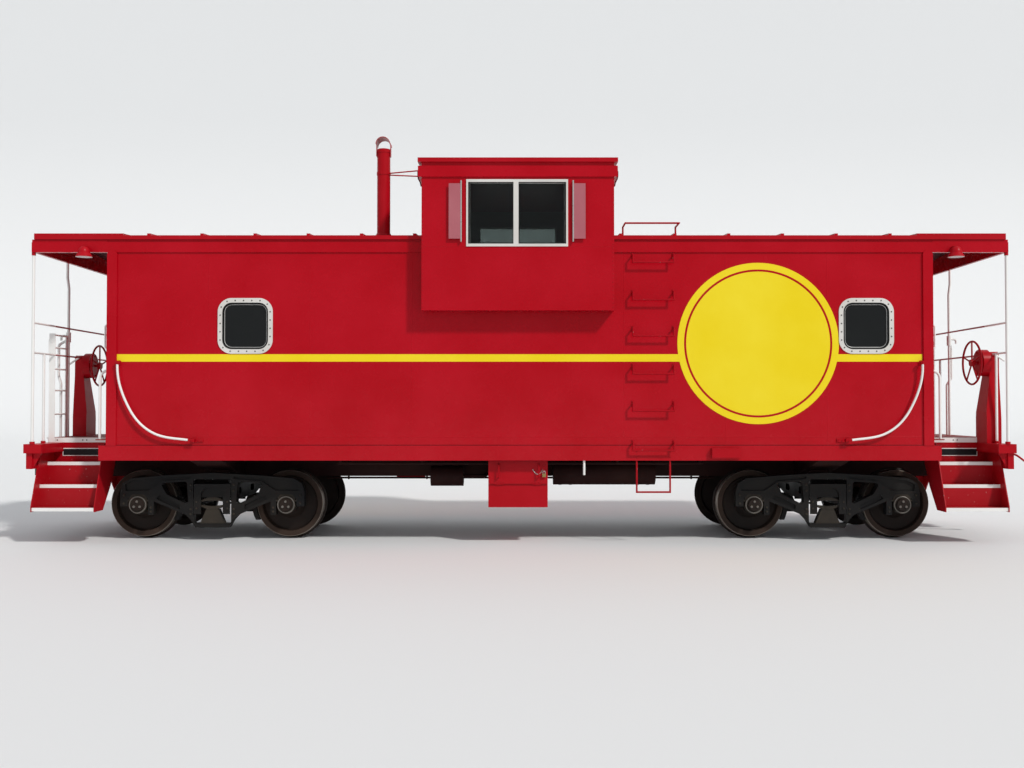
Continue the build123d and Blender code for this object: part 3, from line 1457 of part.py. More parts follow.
for end, turn in (("a", 180), ("b", 0)):
    for piece_name, piece in (("coupler", coupler), ("knuckle", knuckle)):
        with BuildPart() as placed:
            add(piece.part, rotation=(0, 0, turn))
        save(placed, piece_name + "_" + end)
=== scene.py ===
import math

import bpy
import numpy as np
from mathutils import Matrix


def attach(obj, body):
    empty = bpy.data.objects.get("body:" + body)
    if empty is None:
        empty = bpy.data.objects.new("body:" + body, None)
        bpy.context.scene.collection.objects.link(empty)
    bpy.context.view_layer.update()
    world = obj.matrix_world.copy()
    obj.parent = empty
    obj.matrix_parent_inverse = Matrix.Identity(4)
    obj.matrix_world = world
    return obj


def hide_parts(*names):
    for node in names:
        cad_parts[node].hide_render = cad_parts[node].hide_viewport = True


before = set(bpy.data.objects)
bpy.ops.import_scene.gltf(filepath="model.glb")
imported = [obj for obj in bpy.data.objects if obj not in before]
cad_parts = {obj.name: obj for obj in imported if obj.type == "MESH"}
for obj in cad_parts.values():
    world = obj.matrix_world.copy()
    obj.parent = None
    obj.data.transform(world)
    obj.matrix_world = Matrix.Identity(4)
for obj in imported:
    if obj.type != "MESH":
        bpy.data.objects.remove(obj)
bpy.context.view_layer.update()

# Floor and light. The car stands on a pale floor that runs up into a pale backdrop, under
# one broad sun from the camera's right and an even sky.
floor_half = 180.0
backdrop_y = 70.0
backdrop_top = 120.0
bend = 25.0
floor_tone = (0.78, 0.79, 0.8, 1)
sky_tone = (0.93, 0.96, 1.0, 1)
sky_light, sky_seen = 0.5, 0.85
sun_strength, sun_spread, sun_turn = 2.2, 5.0, (48.0, 0.0, 45.0)


def swept_sheet(name, profile, x_low, x_high, smooth=True):
    """A sheet: the (y, z) profile carried straight along X between two limits."""
    profile = np.asarray(profile, float)
    count = len(profile)
    co = np.empty((2, count, 3))
    co[0, :, 0], co[1, :, 0] = x_low, x_high
    co[:, :, 1:] = profile
    index = np.arange(count - 1)
    faces = np.stack([index, index + count, index + count + 1, index + 1], 1)
    mesh = bpy.data.meshes.new(name)
    mesh.from_pydata(co.reshape(-1, 3).tolist(), [], faces.tolist())
    mesh.polygons.foreach_set("use_smooth", np.full(len(faces), smooth))
    obj = bpy.data.objects.new(name, mesh)
    bpy.context.collection.objects.link(obj)
    return obj


turn = np.linspace(0, math.pi / 2, 16)
backdrop_profile = [(-floor_half, 0.0), (backdrop_y - bend, 0.0)]
backdrop_profile += [(backdrop_y - bend + bend * math.sin(t), bend - bend * math.cos(t)) for t in turn]
backdrop_profile += [(backdrop_y, backdrop_top)]
floor = swept_sheet("studio_floor", backdrop_profile, -floor_half, floor_half)

floor_paint = bpy.data.materials.new("studio_floor")
floor_paint.use_nodes = True
floor_shader = floor_paint.node_tree.nodes["Principled BSDF"]
floor_shader.inputs["Base Color"].default_value = floor_tone
floor_shader.inputs["Roughness"].default_value = 0.9
floor.data.materials.append(floor_paint)

world = bpy.data.worlds.new("studio_sky")
world.use_nodes = True
sky_tree = world.node_tree
background = sky_tree.nodes["Background"]
background.inputs["Color"].default_value = sky_tone
sky = sky_tree.nodes.new("ShaderNodeMapRange")
sky.inputs["To Min"].default_value = sky_light
sky.inputs["To Max"].default_value = sky_seen
ray = sky_tree.nodes.new("ShaderNodeLightPath")
seen = sky_tree.nodes.new("ShaderNodeMath")
seen.operation = "MAXIMUM"
sky_tree.links.new(ray.outputs["Is Camera Ray"], seen.inputs[0])
sky_tree.links.new(ray.outputs["Is Transmission Ray"], seen.inputs[1])
sky_tree.links.new(seen.outputs["Value"], sky.inputs["Value"])
sky_tree.links.new(sky.outputs["Result"], background.inputs["Strength"])
bpy.context.scene.world = world

sun = bpy.data.lights.new("key", "SUN")
sun.energy = sun_strength
sun.angle = math.radians(sun_spread)
sun.color = (1.0, 0.98, 0.94)
sun_obj = bpy.data.objects.new("key", sun)
sun_obj.rotation_euler = [math.radians(angle) for angle in sun_turn]
bpy.context.collection.objects.link(sun_obj)

# Camera. It stands 13.9 m in front of the car's middle plane, at standing height, and looks
# square at the near side with a slight upward tilt.
camera_distance = 13.9
camera_height = 1.675
tilt = 1.157
focal_px = 1040.0
frame_px = 1024.0
centre_px = 520.0
sensor_mm = 36.0
camera = bpy.data.cameras.new("camera")
camera.sensor_width = sensor_mm
camera.lens = sensor_mm * focal_px / frame_px
camera.shift_x = (frame_px / 2 - centre_px) / frame_px
camera_obj = bpy.data.objects.new("camera", camera)
camera_obj.location = (0.0, -camera_distance, camera_height)
camera_obj.rotation_euler = (math.radians(90 + tilt), 0, 0)
bpy.context.collection.objects.link(camera_obj)
bpy.context.scene.camera = camera_obj
bpy.context.scene.view_settings.view_transform = "Standard"

# Body paint. The steel sheets carry a glossy red enamel, rolled on over slightly wavy plate,
# with faint chalky clouds and dust towards the bottom.
dust_tone, metal_tone = (0.24, 0.2, 0.16, 1), (0.5, 0.46, 0.44, 1)


def noise(tree, where, scale, detail):
    """A noise over the piece's own coordinates, with a given scale and depth of detail."""
    node = tree.nodes.new("ShaderNodeTexNoise")
    node.inputs["Scale"].default_value = scale
    node.inputs["Detail"].default_value = detail
    tree.links.new(where.outputs["Object"], node.inputs["Vector"])
    return node


def spread(tree, value, to_low, to_high, from_low=0.0, from_high=1.0):
    """A value carried evenly from one range to another."""
    node = tree.nodes.new("ShaderNodeMapRange")
    node.inputs["From Min"].default_value = from_low
    node.inputs["From Max"].default_value = from_high
    node.inputs["To Min"].default_value = to_low
    node.inputs["To Max"].default_value = to_high
    tree.links.new(value, node.inputs["Value"])
    return node.outputs["Result"]


def laid_over(tree, paint, tone, amount):
    """A second tone mixed over the paint by an amount."""
    node = tree.nodes.new("ShaderNodeMix")
    node.data_type = "RGBA"
    node.inputs[7].default_value = tone
    tree.links.new(amount, node.inputs[0])
    tree.links.new(paint, node.inputs[6])
    return node.outputs[2]


def enamel(name, colour, cloud, gloss=0.3, wave=0.25, dust=0.0, dust_z=(0.0, 1.0), chips=0.0, metallic=0.0):
    """A painted finish: large soft clouds mix two tones, fine noise breaks the gloss, a slow
    wave bends the reflection, dust fades in downwards between two heights, and where a small
    noise is in its top share the paint is chipped to pale metal."""
    material = bpy.data.materials.new(name)
    material.use_nodes = True
    tree = material.node_tree
    shader = tree.nodes["Principled BSDF"]
    shader.inputs["Specular IOR Level"].default_value = 0.14
    shader.inputs["Metallic"].default_value = metallic
    where = tree.nodes.new("ShaderNodeTexCoord")
    clouds = noise(tree, where, scale=1.3, detail=5.0)
    clouds.inputs["Roughness"].default_value = 0.55
    tones = tree.nodes.new("ShaderNodeValToRGB")
    for stop, place, tone in zip(tones.color_ramp.elements, (0.36, 0.72), (colour, cloud)):
        stop.position = place
        stop.color = (*tone, 1)
    tree.links.new(clouds.outputs["Fac"], tones.inputs["Fac"])
    paint = tones.outputs["Color"]
    if dust:
        height = tree.nodes.new("ShaderNodeSeparateXYZ")
        tree.links.new(where.outputs["Object"], height.inputs["Vector"])
        amount = tree.nodes.new("ShaderNodeMath")
        amount.operation = "MULTIPLY"
        tree.links.new(spread(tree, height.outputs["Z"], 0.0, dust, dust_z[1], dust_z[0]), amount.inputs[0])
        tree.links.new(noise(tree, where, scale=9.0, detail=8.0).outputs["Fac"], amount.inputs[1])
        paint = laid_over(tree, paint, dust_tone, amount.outputs["Value"])
    if chips:
        flake = noise(tree, where, scale=45.0, detail=4.0).outputs["Fac"]
        bare = spread(tree, flake, 0.0, 1.0, 0.72 - chips, 0.75 - chips)
        paint = laid_over(tree, paint, metal_tone, bare)
    tree.links.new(paint, shader.inputs["Base Color"])
    fine = noise(tree, where, scale=6.0, detail=6.0).outputs["Fac"]
    tree.links.new(spread(tree, fine, gloss * 0.75, min(gloss * 1.45, 1.0)), shader.inputs["Roughness"])
    bump = tree.nodes.new("ShaderNodeBump")
    bump.inputs["Strength"].default_value = wave
    bump.inputs["Distance"].default_value = 0.02
    tree.links.new(noise(tree, where, scale=2.2, detail=2.0).outputs["Fac"], bump.inputs["Height"])
    tree.links.new(bump.outputs["Normal"], shader.inputs["Normal"])
    return material


def finish_nodes(material, names):
    """Give the named CAD nodes one finish."""
    for name in names:
        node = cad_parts[name]
        node.data.materials.clear()
        node.data.materials.append(material)


def second_finish(name, material, chosen):
    """Give part of a CAD node another finish: chosen says which faces, from the arrays of
    their centres and normals."""
    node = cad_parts[name]
    count = len(node.data.polygons)
    centre, normal = np.empty(count * 3), np.empty(count * 3)
    node.data.polygons.foreach_get("center", centre)
    node.data.polygons.foreach_get("normal", normal)
    index = np.zeros(count, np.int32)
    node.data.polygons.foreach_get("material_index", index)
    node.data.materials.append(material)
    index[chosen(centre.reshape(-1, 3), normal.reshape(-1, 3))] = len(node.data.materials) - 1
    node.data.polygons.foreach_set("material_index", index)


# Base colours. A face is taken as square to an axis when its normal keeps this share along it.
square_on = 0.9
body_red = enamel("body_red", (0.42, 0.001, 0.008), (0.47, 0.004, 0.014), gloss=0.24, wave=0.22,
                  dust=0.04, dust_z=(0.9, 2.2))
trim_red = enamel("trim_red", (0.4, 0.002, 0.008), (0.45, 0.005, 0.014), gloss=0.3, wave=0.1)
worn_red = enamel("worn_red", (0.37, 0.001, 0.007), (0.42, 0.003, 0.012), gloss=0.32, wave=0.1,
                  dust=0.07, dust_z=(0.4, 1.3), chips=0.006)
finish_nodes(body_red, ["side_wall_near", "side_wall_far", "end_walls", "side_sills", "fascia",
                        "cupola_side_near", "cupola_side_far", "cupola_ends", "cupola_fascia"])
inside_paint = enamel("interior_paint", (0.36, 0.38, 0.34), (0.42, 0.44, 0.4), gloss=0.5, wave=0.05)
finish_nodes(inside_paint, ["floor", "cupola_deck"])
inner_wall_y, inner_cupola_y, cupola_foot_z = 1.362, 1.572, 2.8
inner_end_x, inner_cupola_x = 4.902, (-1.12, 1.068)
for name in ("side_wall_near", "side_wall_far"):
    second_finish(name, inside_paint, lambda centre, normal: np.abs(centre[:, 1]) < inner_wall_y)
for name in ("cupola_side_near", "cupola_side_far"):
    second_finish(name, inside_paint, lambda centre, normal: (np.abs(centre[:, 1]) < inner_cupola_y)
                  & (centre[:, 2] > cupola_foot_z))
second_finish("end_walls", inside_paint, lambda centre, normal: np.abs(centre[:, 0]) < inner_end_x)
second_finish("cupola_ends", inside_paint, lambda centre, normal: (centre[:, 0] > inner_cupola_x[0])
              & (centre[:, 0] < inner_cupola_x[1]))

# Side sheets. Upright weld seams join the sheets of each side, and a lap seam runs along the
# foot of the sheets above the sill. Each weld is a thin flattened bead under the paint.
near_y = -1.42
seam_x = [-3.74, -2.52, -1.3, 1.25, 2.47, 3.69]
seam_foot, seam_head = 1.192, 3.51
lap_half, lap_z = 4.83, 1.291
sill_shadow_half, sill_shadow_z = 5.045, 1.193
facing = (0, -1, 0)
car_ends = (("a", -1), ("b", 1))


def as_pieces(rings):
    """The rings as an array rings[piece, ring, point], also where there is only one piece."""
    rings = np.asarray(rings, float)
    return rings[None] if rings.ndim == 3 else rings


def skins(name, rings, body, material, smooth=True, looped=False):
    """Closed skins in one mesh: rings[piece, ring, point] are joined ring to ring, with a flat
    cap at each end, or the last ring is joined to the first where the piece is a loop."""
    rings = as_pieces(rings)
    pieces, count, around = rings.shape[:3]
    here = np.arange(pieces * count * around).reshape(pieces, count, around)
    if looped:
        here = np.concatenate([here, here[:, :1]], axis=1)
    beside = np.roll(here, -1, axis=2)
    quads = np.stack([here[:, :-1], beside[:, :-1], beside[:, 1:], here[:, 1:]], -1)
    faces = quads.reshape(-1, 4).tolist()
    if not looped:
        faces += here[:, 0, ::-1].tolist() + here[:, -1].tolist()
    mesh = bpy.data.meshes.new(name)
    mesh.from_pydata(rings.reshape(-1, 3).tolist(), [], faces)
    mesh.polygons.foreach_set("use_smooth", np.full(len(faces), smooth))
    if smooth:
        mesh.set_sharp_from_angle(angle=math.radians(40))
    mesh.materials.append(material)
    obj = bpy.data.objects.new(name, mesh)
    bpy.context.collection.objects.link(obj)
    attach(obj, body)
    return obj


def bar(route, radius, up, around=10):
    """Rings of a round bar: a circle carried along the route, square to it."""
    route = np.asarray(route, float)
    step = np.diff(route, axis=0)
    step /= np.linalg.norm(step, axis=1)[:, None]
    ahead = np.vstack([step[:1], step[:-1] + step[1:], step[-1:]])
    ahead /= np.linalg.norm(ahead, axis=1)[:, None]
    u = np.asarray(up, float) - (ahead @ np.asarray(up, float))[:, None] * ahead
    u /= np.linalg.norm(u, axis=1)[:, None]
    v = np.cross(ahead, u)
    angle = np.linspace(0, 2 * math.pi, around, endpoint=False)
    radius = np.broadcast_to(np.asarray(radius, float), len(route))[:, None, None]
    return route[:, None] + radius * (np.cos(angle)[None, :, None] * u[:, None]
                                      + np.sin(angle)[None, :, None] * v[:, None])


def both_sides(rings):
    """The rings on the near side and the same ones on the far side, turned half round."""
    rings = as_pieces(rings)
    return np.concatenate([rings, rings * (-1, -1, 1)])


def across_car(rings):
    """The rings on the near side and their mirror images on the far side."""
    rings = as_pieces(rings)
    return np.concatenate([rings, (rings * (1, -1, 1))[:, :, ::-1]])


def all_corners(rings):
    """The rings at one corner of the car and at the other three, turned and mirrored."""
    both = across_car(rings)
    return np.concatenate([both, (both * (-1, 1, 1))[:, :, ::-1]])


def flattened(rings, axis, level, share):
    """The rings pressed flat against the plane where the axis has the given value."""
    rings = np.array(rings, float)
    rings[..., axis] = level + share * (rings[..., axis] - level)
    return rings


welds = [bar([(x, near_y, seam_foot), (x, near_y, seam_head)], radius=0.005, up=(1, 0, 0), around=8)
         for x in seam_x]
welds += [bar([(-lap_half, near_y, lap_z), (lap_half, near_y, lap_z)], radius=0.005, up=(0, 0, 1), around=8)]
seams = flattened(welds, axis=1, level=near_y, share=0.3)
skins("side_seams", both_sides(seams), "carbody", body_red)
# canopy_shade is painted shade: a near-black red put where shade falls, under the canopy, in the gap over the
# sill and on the cupola hooks.
shade_red = enamel("canopy_shade", (0.07, 0.003, 0.006), (0.1, 0.005, 0.01), gloss=0.5, wave=0.1)
# A dark bar along the foot of the sheets, just over the sill, is painted shadow: the shade in the gap between
# sheet and sill.
sill_shadow = bar([(-sill_shadow_half, near_y, sill_shadow_z), (sill_shadow_half, near_y, sill_shadow_z)], radius=0.004, up=(0, 0, 1),
            around=8)
sill_shadow = flattened(sill_shadow, axis=1, level=near_y, share=0.5)
skins("sill_shadow_lines", both_sides(sill_shadow), "carbody", shade_red)

# Yellow stripe and disc. Both are painted on the side sheets. The disc has one thin red ring
# inside its edge and is otherwise plain.
stripe_x = (-4.85, 4.83)
stripe_z = (2.195, 2.285)
disc_centre = (2.86, 2.415)
disc_radius = 0.97
ring_radius = (0.865, 0.89)
yellow = enamel("stripe_yellow", (0.86, 0.66, 0.012), (0.9, 0.72, 0.03), gloss=0.3, wave=0.15)


def slab(low, high, edge=0.002):
    """Rings of a flat plate or block: a rectangle with cut corners, drawn in at both ends."""
    low, high = np.minimum(low, high).astype(float), np.maximum(low, high).astype(float)
    middle, half = (low + high) / 2, (high - low) / 2
    corner = np.array([(1, -1, 0), (1, 1, 0), (1, 1, 1), (-1, 1, 1),
                       (-1, 1, 0), (-1, -1, 0), (-1, -1, 1), (1, -1, 1)], float)
    rings = []
    for z, drawn in ((-half[2], edge), (-half[2] + edge, 0), (half[2] - edge, 0), (half[2], edge)):
        ring = np.empty((8, 3))
        ring[:, 0] = corner[:, 0] * (half[0] - drawn - edge * corner[:, 2])
        ring[:, 1] = corner[:, 1] * (half[1] - drawn - edge * (1 - corner[:, 2]))
        ring[:, 2] = z
        rings.append(ring + middle)
    return np.array(rings)


def round_plate(centre, radii, y_back, y_front, around=96):
    """Rings of a flat disc that faces -Y, or of a flat ring where two radii are given."""
    angle = np.linspace(0, 2 * math.pi, around, endpoint=False)
    circle = np.stack([np.cos(angle), np.zeros(around), np.sin(angle)], 1)
    middle = np.array([centre[0], 0, centre[1]])
    levels = [(radii[-1], y_back), (radii[-1], y_front)]
    if len(radii) > 1:
        levels += [(radii[0], y_front), (radii[0], y_back)]
    return np.array([middle + circle * r + (0, y, 0) for r, y in levels])


under_y, stripe_y, disc_y, ring_y = near_y + 0.001, near_y - 0.002, near_y - 0.003, near_y - 0.0036
stripe = slab((stripe_x[0], stripe_y, stripe_z[0]), (stripe_x[1], under_y, stripe_z[1]), edge=0.0005)
skins("side_stripes", both_sides(stripe), "carbody", yellow, smooth=False)
skins("side_discs", both_sides(round_plate(disc_centre, (disc_radius,), under_y, disc_y)), "carbody", yellow,
      smooth=False)
skins("disc_rings", both_sides(round_plate(disc_centre, ring_radius, near_y - 0.001, ring_y)), "carbody",
      body_red, smooth=False, looped=True)

# Side windows. A pressed aluminium frame holds each pane in a black rubber gasket, with a bead
# inside the gasket and a ring of dull round-headed screws through the frame.
aluminium = enamel("window_aluminium", (0.5, 0.5, 0.49), (0.62, 0.62, 0.6), gloss=0.38, wave=0.05,
                   metallic=0.35)
rubber = enamel("gasket_rubber", (0.012, 0.012, 0.012), (0.02, 0.02, 0.02), gloss=0.6, wave=0.05)
frame_metal = enamel("frame_aluminium", (0.66, 0.64, 0.6), (0.8, 0.78, 0.75), gloss=0.38, wave=0.05,
                     metallic=0.15)
screw_steel = enamel("screw_steel", (0.09, 0.085, 0.08), (0.16, 0.15, 0.14), gloss=0.5, wave=0.05)
finish_nodes(frame_metal, ["side_window_frames", "cupola_window_frames"])


def clear_glass(name, tone, roughness, ior):
    """A pane that is seen through, with its own tint."""
    material = bpy.data.materials.new(name)
    material.use_nodes = True
    pane = material.node_tree.nodes["Principled BSDF"]
    pane.inputs["Base Color"].default_value = (*tone, 1)
    pane.inputs["Transmission Weight"].default_value = 1.0
    pane.inputs["Roughness"].default_value = roughness
    pane.inputs["IOR"].default_value = ior
    pane.inputs["Specular IOR Level"].default_value = 1.0
    return material


smoked = bpy.data.materials.new("smoked_glass")
smoked.use_nodes = True
smoked_tree = smoked.node_tree
smoked_pane = smoked_tree.nodes["Principled BSDF"]
smoked_pane.inputs["Base Color"].default_value = (0.006, 0.007, 0.007, 1)
smoked_pane.inputs["Specular IOR Level"].default_value = 0.3
film = noise(smoked_tree, smoked_tree.nodes.new("ShaderNodeTexCoord"), scale=3.0, detail=2.0).outputs["Fac"]
smoked_tree.links.new(spread(smoked_tree, film, 0.06, 0.3), smoked_pane.inputs["Roughness"])
finish_nodes(smoked, ["side_window_panes"])
door_glass = clear_glass("window_glass", tone=(0.55, 0.62, 0.6), roughness=0.03, ior=1.02)
finish_nodes(door_glass, ["end_door_a_pane", "end_door_b_pane"])
# The cupola panes are tinted dark, partly as glass tint and partly as painted shade for the dim cupola
# inside.
cupola_glass = clear_glass("shade_tinted_glass", tone=(0.26, 0.3, 0.29), roughness=0.04, ior=1.28)
finish_nodes(cupola_glass, ["cupola_window_panes"])

window_x = (-3.3, 4.16)
window_z = 2.625
window_half = (0.33, 0.335)
window_corner = 0.165
line_points, screw_count = 64, 22
screw_inset, gasket_inset, bead_inset = 0.03, 0.062, 0.078
screw_y, gasket_y, bead_y = near_y - 0.011, near_y - 0.008, near_y + 0.012


def rounded_loop(half_x, half_z, corner, count):
    """Points spaced evenly round a rectangle with rounded corners, as (x, z) pairs."""
    quarter = np.linspace(0, math.pi / 2, 13)
    outline = []
    for start, sx, sz in ((0, 1, 1), (math.pi / 2, -1, 1), (math.pi, -1, -1), (1.5 * math.pi, 1, -1)):
        angle = quarter + start
        outline.append(np.stack([sx * (half_x - corner) + corner * np.cos(angle),
                                 sz * (half_z - corner) + corner * np.sin(angle)], 1))
    outline = np.concatenate(outline)
    outline = np.vstack([outline, outline[:1]])
    run = np.concatenate([[0], np.cumsum(np.linalg.norm(np.diff(outline, axis=0), axis=1))])
    spot = np.linspace(0, run[-1], count, endpoint=False)
    return np.stack([np.interp(spot, run, outline[:, 0]), np.interp(spot, run, outline[:, 1])], 1)


def closed_bar(route, radius, up, around=8):
    """Rings of a round strip along a flat route that closes on itself: a circle spanned by the
    route's outward direction and the direction that the route faces."""
    route, up = np.asarray(route, float), np.asarray(up, float)
    ahead = np.roll(route, -1, axis=0) - np.roll(route, 1, axis=0)
    ahead /= np.linalg.norm(ahead, axis=1)[:, None]
    outward = np.cross(ahead, up)
    angle = np.linspace(0, 2 * math.pi, around, endpoint=False)
    return route[:, None] + radius * (np.cos(angle)[None, :, None] * outward[:, None]
                                      + np.sin(angle)[None, :, None] * up)


def window_ring(x, inset, y, count):
    """Points round a side window at a given inset from its outer edge, on one plane."""
    loop = rounded_loop(window_half[0] - inset, window_half[1] - inset, window_corner - inset, count)
    return np.stack([x + loop[:, 0], np.full(count, y), window_z + loop[:, 1]], 1)


head_levels, head_shares = np.array([-0.2, 0.7, 1.0]), np.array([1.0, 1.0, 0.72])


def heads(centres, normal, radius, height, around=6):
    """Rings of bolt or screw heads: a ring that narrows as it rises from the face."""
    centres = np.asarray(centres, float).reshape(-1, 1, 1, 3)
    normal = np.asarray(normal, float) / np.linalg.norm(normal)
    u = np.cross(normal, (0.3, 0.5, 0.81) if abs(normal[2]) < 0.9 else (1, 0, 0))
    u /= np.linalg.norm(u)
    v = np.cross(normal, u)
    angle = np.linspace(0, 2 * math.pi, around, endpoint=False)
    circle = np.cos(angle)[:, None] * u + np.sin(angle)[:, None] * v
    rise = head_levels[:, None, None] * height * normal
    return centres + rise + head_shares[:, None, None] * radius * circle


gaskets = [closed_bar(window_ring(x, gasket_inset, gasket_y, line_points), radius=0.008, up=(0, 1, 0))
           for x in window_x]
skins("window_gaskets", both_sides(gaskets), "carbody", rubber, looped=True)
screws = [heads(window_ring(x, screw_inset, screw_y, screw_count), facing, radius=0.009, height=0.004,
                around=8) for x in window_x]
skins("window_screws", both_sides(np.concatenate(screws)), "carbody", screw_steel)
beads = [closed_bar(window_ring(x, bead_inset, bead_y, line_points), radius=0.004, up=(0, 1, 0))
         for x in window_x]
skins("window_beads", both_sides(beads), "carbody", aluminium, looped=True)

# Cupola. Screws close the sides onto the ends, a lap seam runs under the sill of the windows,
# hooks stand out from the ends, dark tracks line the sashes, and the wind deflectors are tinted
# panes in bright rods.
cupola_y = -1.62
cupola_x = (-1.167, 1.116)
edge_x = (cupola_x[0] + 0.014, cupola_x[1] - 0.014)
edge_z = np.arange(2.83, 4.36, 0.05)
cupola_lap_z = 3.553
edge_screws = [heads(np.stack([np.full(len(edge_z), x), np.full(len(edge_z), cupola_y), edge_z], 1), facing,
                     radius=0.007, height=0.004, around=6) for x in edge_x]
skins("cupola_edge_screws", across_car(np.concatenate(edge_screws)), "carbody", trim_red)
lap = bar([(cupola_x[0], cupola_y, cupola_lap_z), (cupola_x[1], cupola_y, cupola_lap_z)], radius=0.006,
          up=(0, 0, 1), around=8)
lap = flattened(lap, axis=1, level=cupola_y, share=0.35)
skins("cupola_seams", across_car(lap), "carbody", body_red)
finish_nodes(trim_red, ["main_roof", "cupola_roof", "end_door_a", "end_door_b", "eave_lamps", "smoke_jack",
                        "tool_box", "tool_box_door", "end_sills", "brake_stands"])
finish_nodes(worn_red, ["platform_steps", "brake_wheel_a", "brake_wheel_b", "side_ladders"])
# The canopy's downward faces take this dark red as painted shade under the roof.
facing_down = -0.3
second_finish("main_roof", shade_red, lambda centre, normal: normal[:, 2] < facing_down)
hook_y = 1.6
hook_route = [(0.046, 4.45), (0.046, 4.4), (0.04, 4.36), (0.018, 4.32), (0.006, 4.27)]
hooks = [bar([(face + end * x, side * hook_y, z) for x, z in hook_route], radius=0.007, up=(0, 1, 0),
             around=8)
         for end, face in ((-1, cupola_x[0]), (1, cupola_x[1])) for side in (-1, 1)]
# The hooks are painted in the dark canopy_shade red, which is painted shade.
skins("cupola_hooks", hooks, "carbody", shade_red)
sash_y = cupola_y - 0.011
sash_lights = [(-0.592, -0.0845, 0.022, 0.007), (-0.0095, 0.524, 0.007, 0.022)]
sash_foot, sash_head, track = 3.597, 4.305, 0.012
tracks = []
for left, right, left_track, right_track in sash_lights:
    strips = [(left - left_track, left, sash_foot - track, sash_head + track),
              (right, right + right_track, sash_foot - track, sash_head + track),
              (left, right, sash_foot - track, sash_foot), (left, right, sash_head, sash_head + track)]
    tracks += [slab((x_from, sash_y - 0.0015, z_from), (x_to, sash_y + 0.001, z_to), edge=0.0005)
               for x_from, x_to, z_from, z_to in strips]
skins("sash_tracks", across_car(tracks), "carbody", rubber, smooth=False)
deflector_pink = enamel("deflector_pane", (0.4, 0.115, 0.14), (0.47, 0.16, 0.185), gloss=0.2, wave=0.05)
chrome = enamel("deflector_rod", (0.5, 0.5, 0.49), (0.6, 0.6, 0.58), gloss=0.25, wave=0.03, metallic=0.6)
finish_nodes(deflector_pink, ["wind_deflectors"])
upright_x, crossing_z, rod_reach = (-0.697, 0.629), (3.639, 4.297), 0.0105
second_finish("wind_deflectors", chrome, lambda centre, normal: (
    (np.abs(centre[:, 0] - upright_x[0]) < rod_reach) | (np.abs(centre[:, 0] - upright_x[1]) < rod_reach)
    | (centre[:, 2] < crossing_z[0]) | (centre[:, 2] > crossing_z[1])))
seat_black = enamel("seat_cover", (0.02, 0.02, 0.022), (0.035, 0.035, 0.036), gloss=0.55, wave=0.3)
finish_nodes(seat_black, ["cupola_seats"])

# Grab irons and stirrup. Each foot of a grab iron has a small bolted flange on the wall, and
# the stirrup's ends are bolted through the sill. The small box on the sill has a lid.
grab_x = (1.35, 1.84)
foot_rise = 0.09
grab_foot_z = [z + foot_rise for z in (3.383, 2.935, 2.503, 2.048, 1.604, 1.134)]
flange_y, flange_half = near_y - 0.005, (0.016, 0.036)
grab_bolt_rise = (-0.025, 0.025)
stirrup_x, stirrup_y, stirrup_z = (1.4, 1.8), near_y - 0.014, (1.05, 1.12)
box_lid = ((2.295, -1.4965, 1.048), (2.625, -1.4935, 1.152))
flanges = [slab((x - flange_half[0], flange_y, z - flange_half[1]),
                (x + flange_half[0], under_y, z + flange_half[1]))
           for x in grab_x for z in grab_foot_z]
skins("grab_flanges", both_sides(flanges), "carbody", trim_red, smooth=False)
skins("sill_box_lid", slab(*box_lid), "carbody", trim_red, smooth=False)
bolt_spots = [(x, flange_y, z + rise) for x in grab_x for z in grab_foot_z for rise in grab_bolt_rise]
bolt_spots += [(x, stirrup_y, z) for x in stirrup_x for z in stirrup_z]
grab_bolts = heads(bolt_spots, facing, radius=0.009, height=0.007)
skins("grab_bolts", both_sides(grab_bolts), "carbody", worn_red, smooth=False)

# Smoke jack, eave lamps and doors. The pipe has a flashing on the roof and two clamp bands, the
# lamps a dull lens, and each door an aluminium strip round its window and bare handles.
jack = (-1.71, -0.9)
band_radius = 0.088
band_levels = [((3.745, 0.13), (3.82, band_radius)), ((4.555, band_radius), (4.59, band_radius)),
               ((4.835, band_radius), (4.865, band_radius))]
bands = [bar([(*jack, low), (*jack, high)], radius=(low_radius, high_radius), up=(1, 0, 0), around=32)
         for (low, low_radius), (high, high_radius) in band_levels]
skins("smoke_jack_bands", bands, "carbody", trim_red)
lens = enamel("lamp_lens", (0.34, 0.2, 0.19), (0.4, 0.25, 0.24), gloss=0.2, wave=0.05)
lens_z = 3.45
second_finish("eave_lamps", lens, lambda centre, normal: (normal[:, 2] < -square_on)
              & (centre[:, 2] < lens_z))
door_face_x = 4.945
door_skin_x = (4.9038, 4.9462)
door_handle_y = (0.18, 0.32)
door_light_z = 2.695
strip_points = 56
strip = rounded_loop(half_x=0.202, half_z=0.322, corner=0.052, count=strip_points)
for end, side in car_ends:
    second_finish("end_door_" + end, aluminium, lambda centre, normal: (
        (np.abs(centre[:, 0]) > door_skin_x[1]) | (np.abs(centre[:, 0]) < door_skin_x[0])
        & (np.abs(centre[:, 1]) > door_handle_y[0]) & (np.abs(centre[:, 1]) < door_handle_y[1])))
    line = np.stack([np.full(strip_points, side * (door_face_x + 0.002)), side * strip[:, 0],
                     door_light_z + strip[:, 1]], 1)
    moulding = closed_bar(line, radius=0.01, up=(side, 0, 0))
    skins("end_door_" + end + "_moulding", moulding, "end_door_" + end, aluminium,
          looped=True)

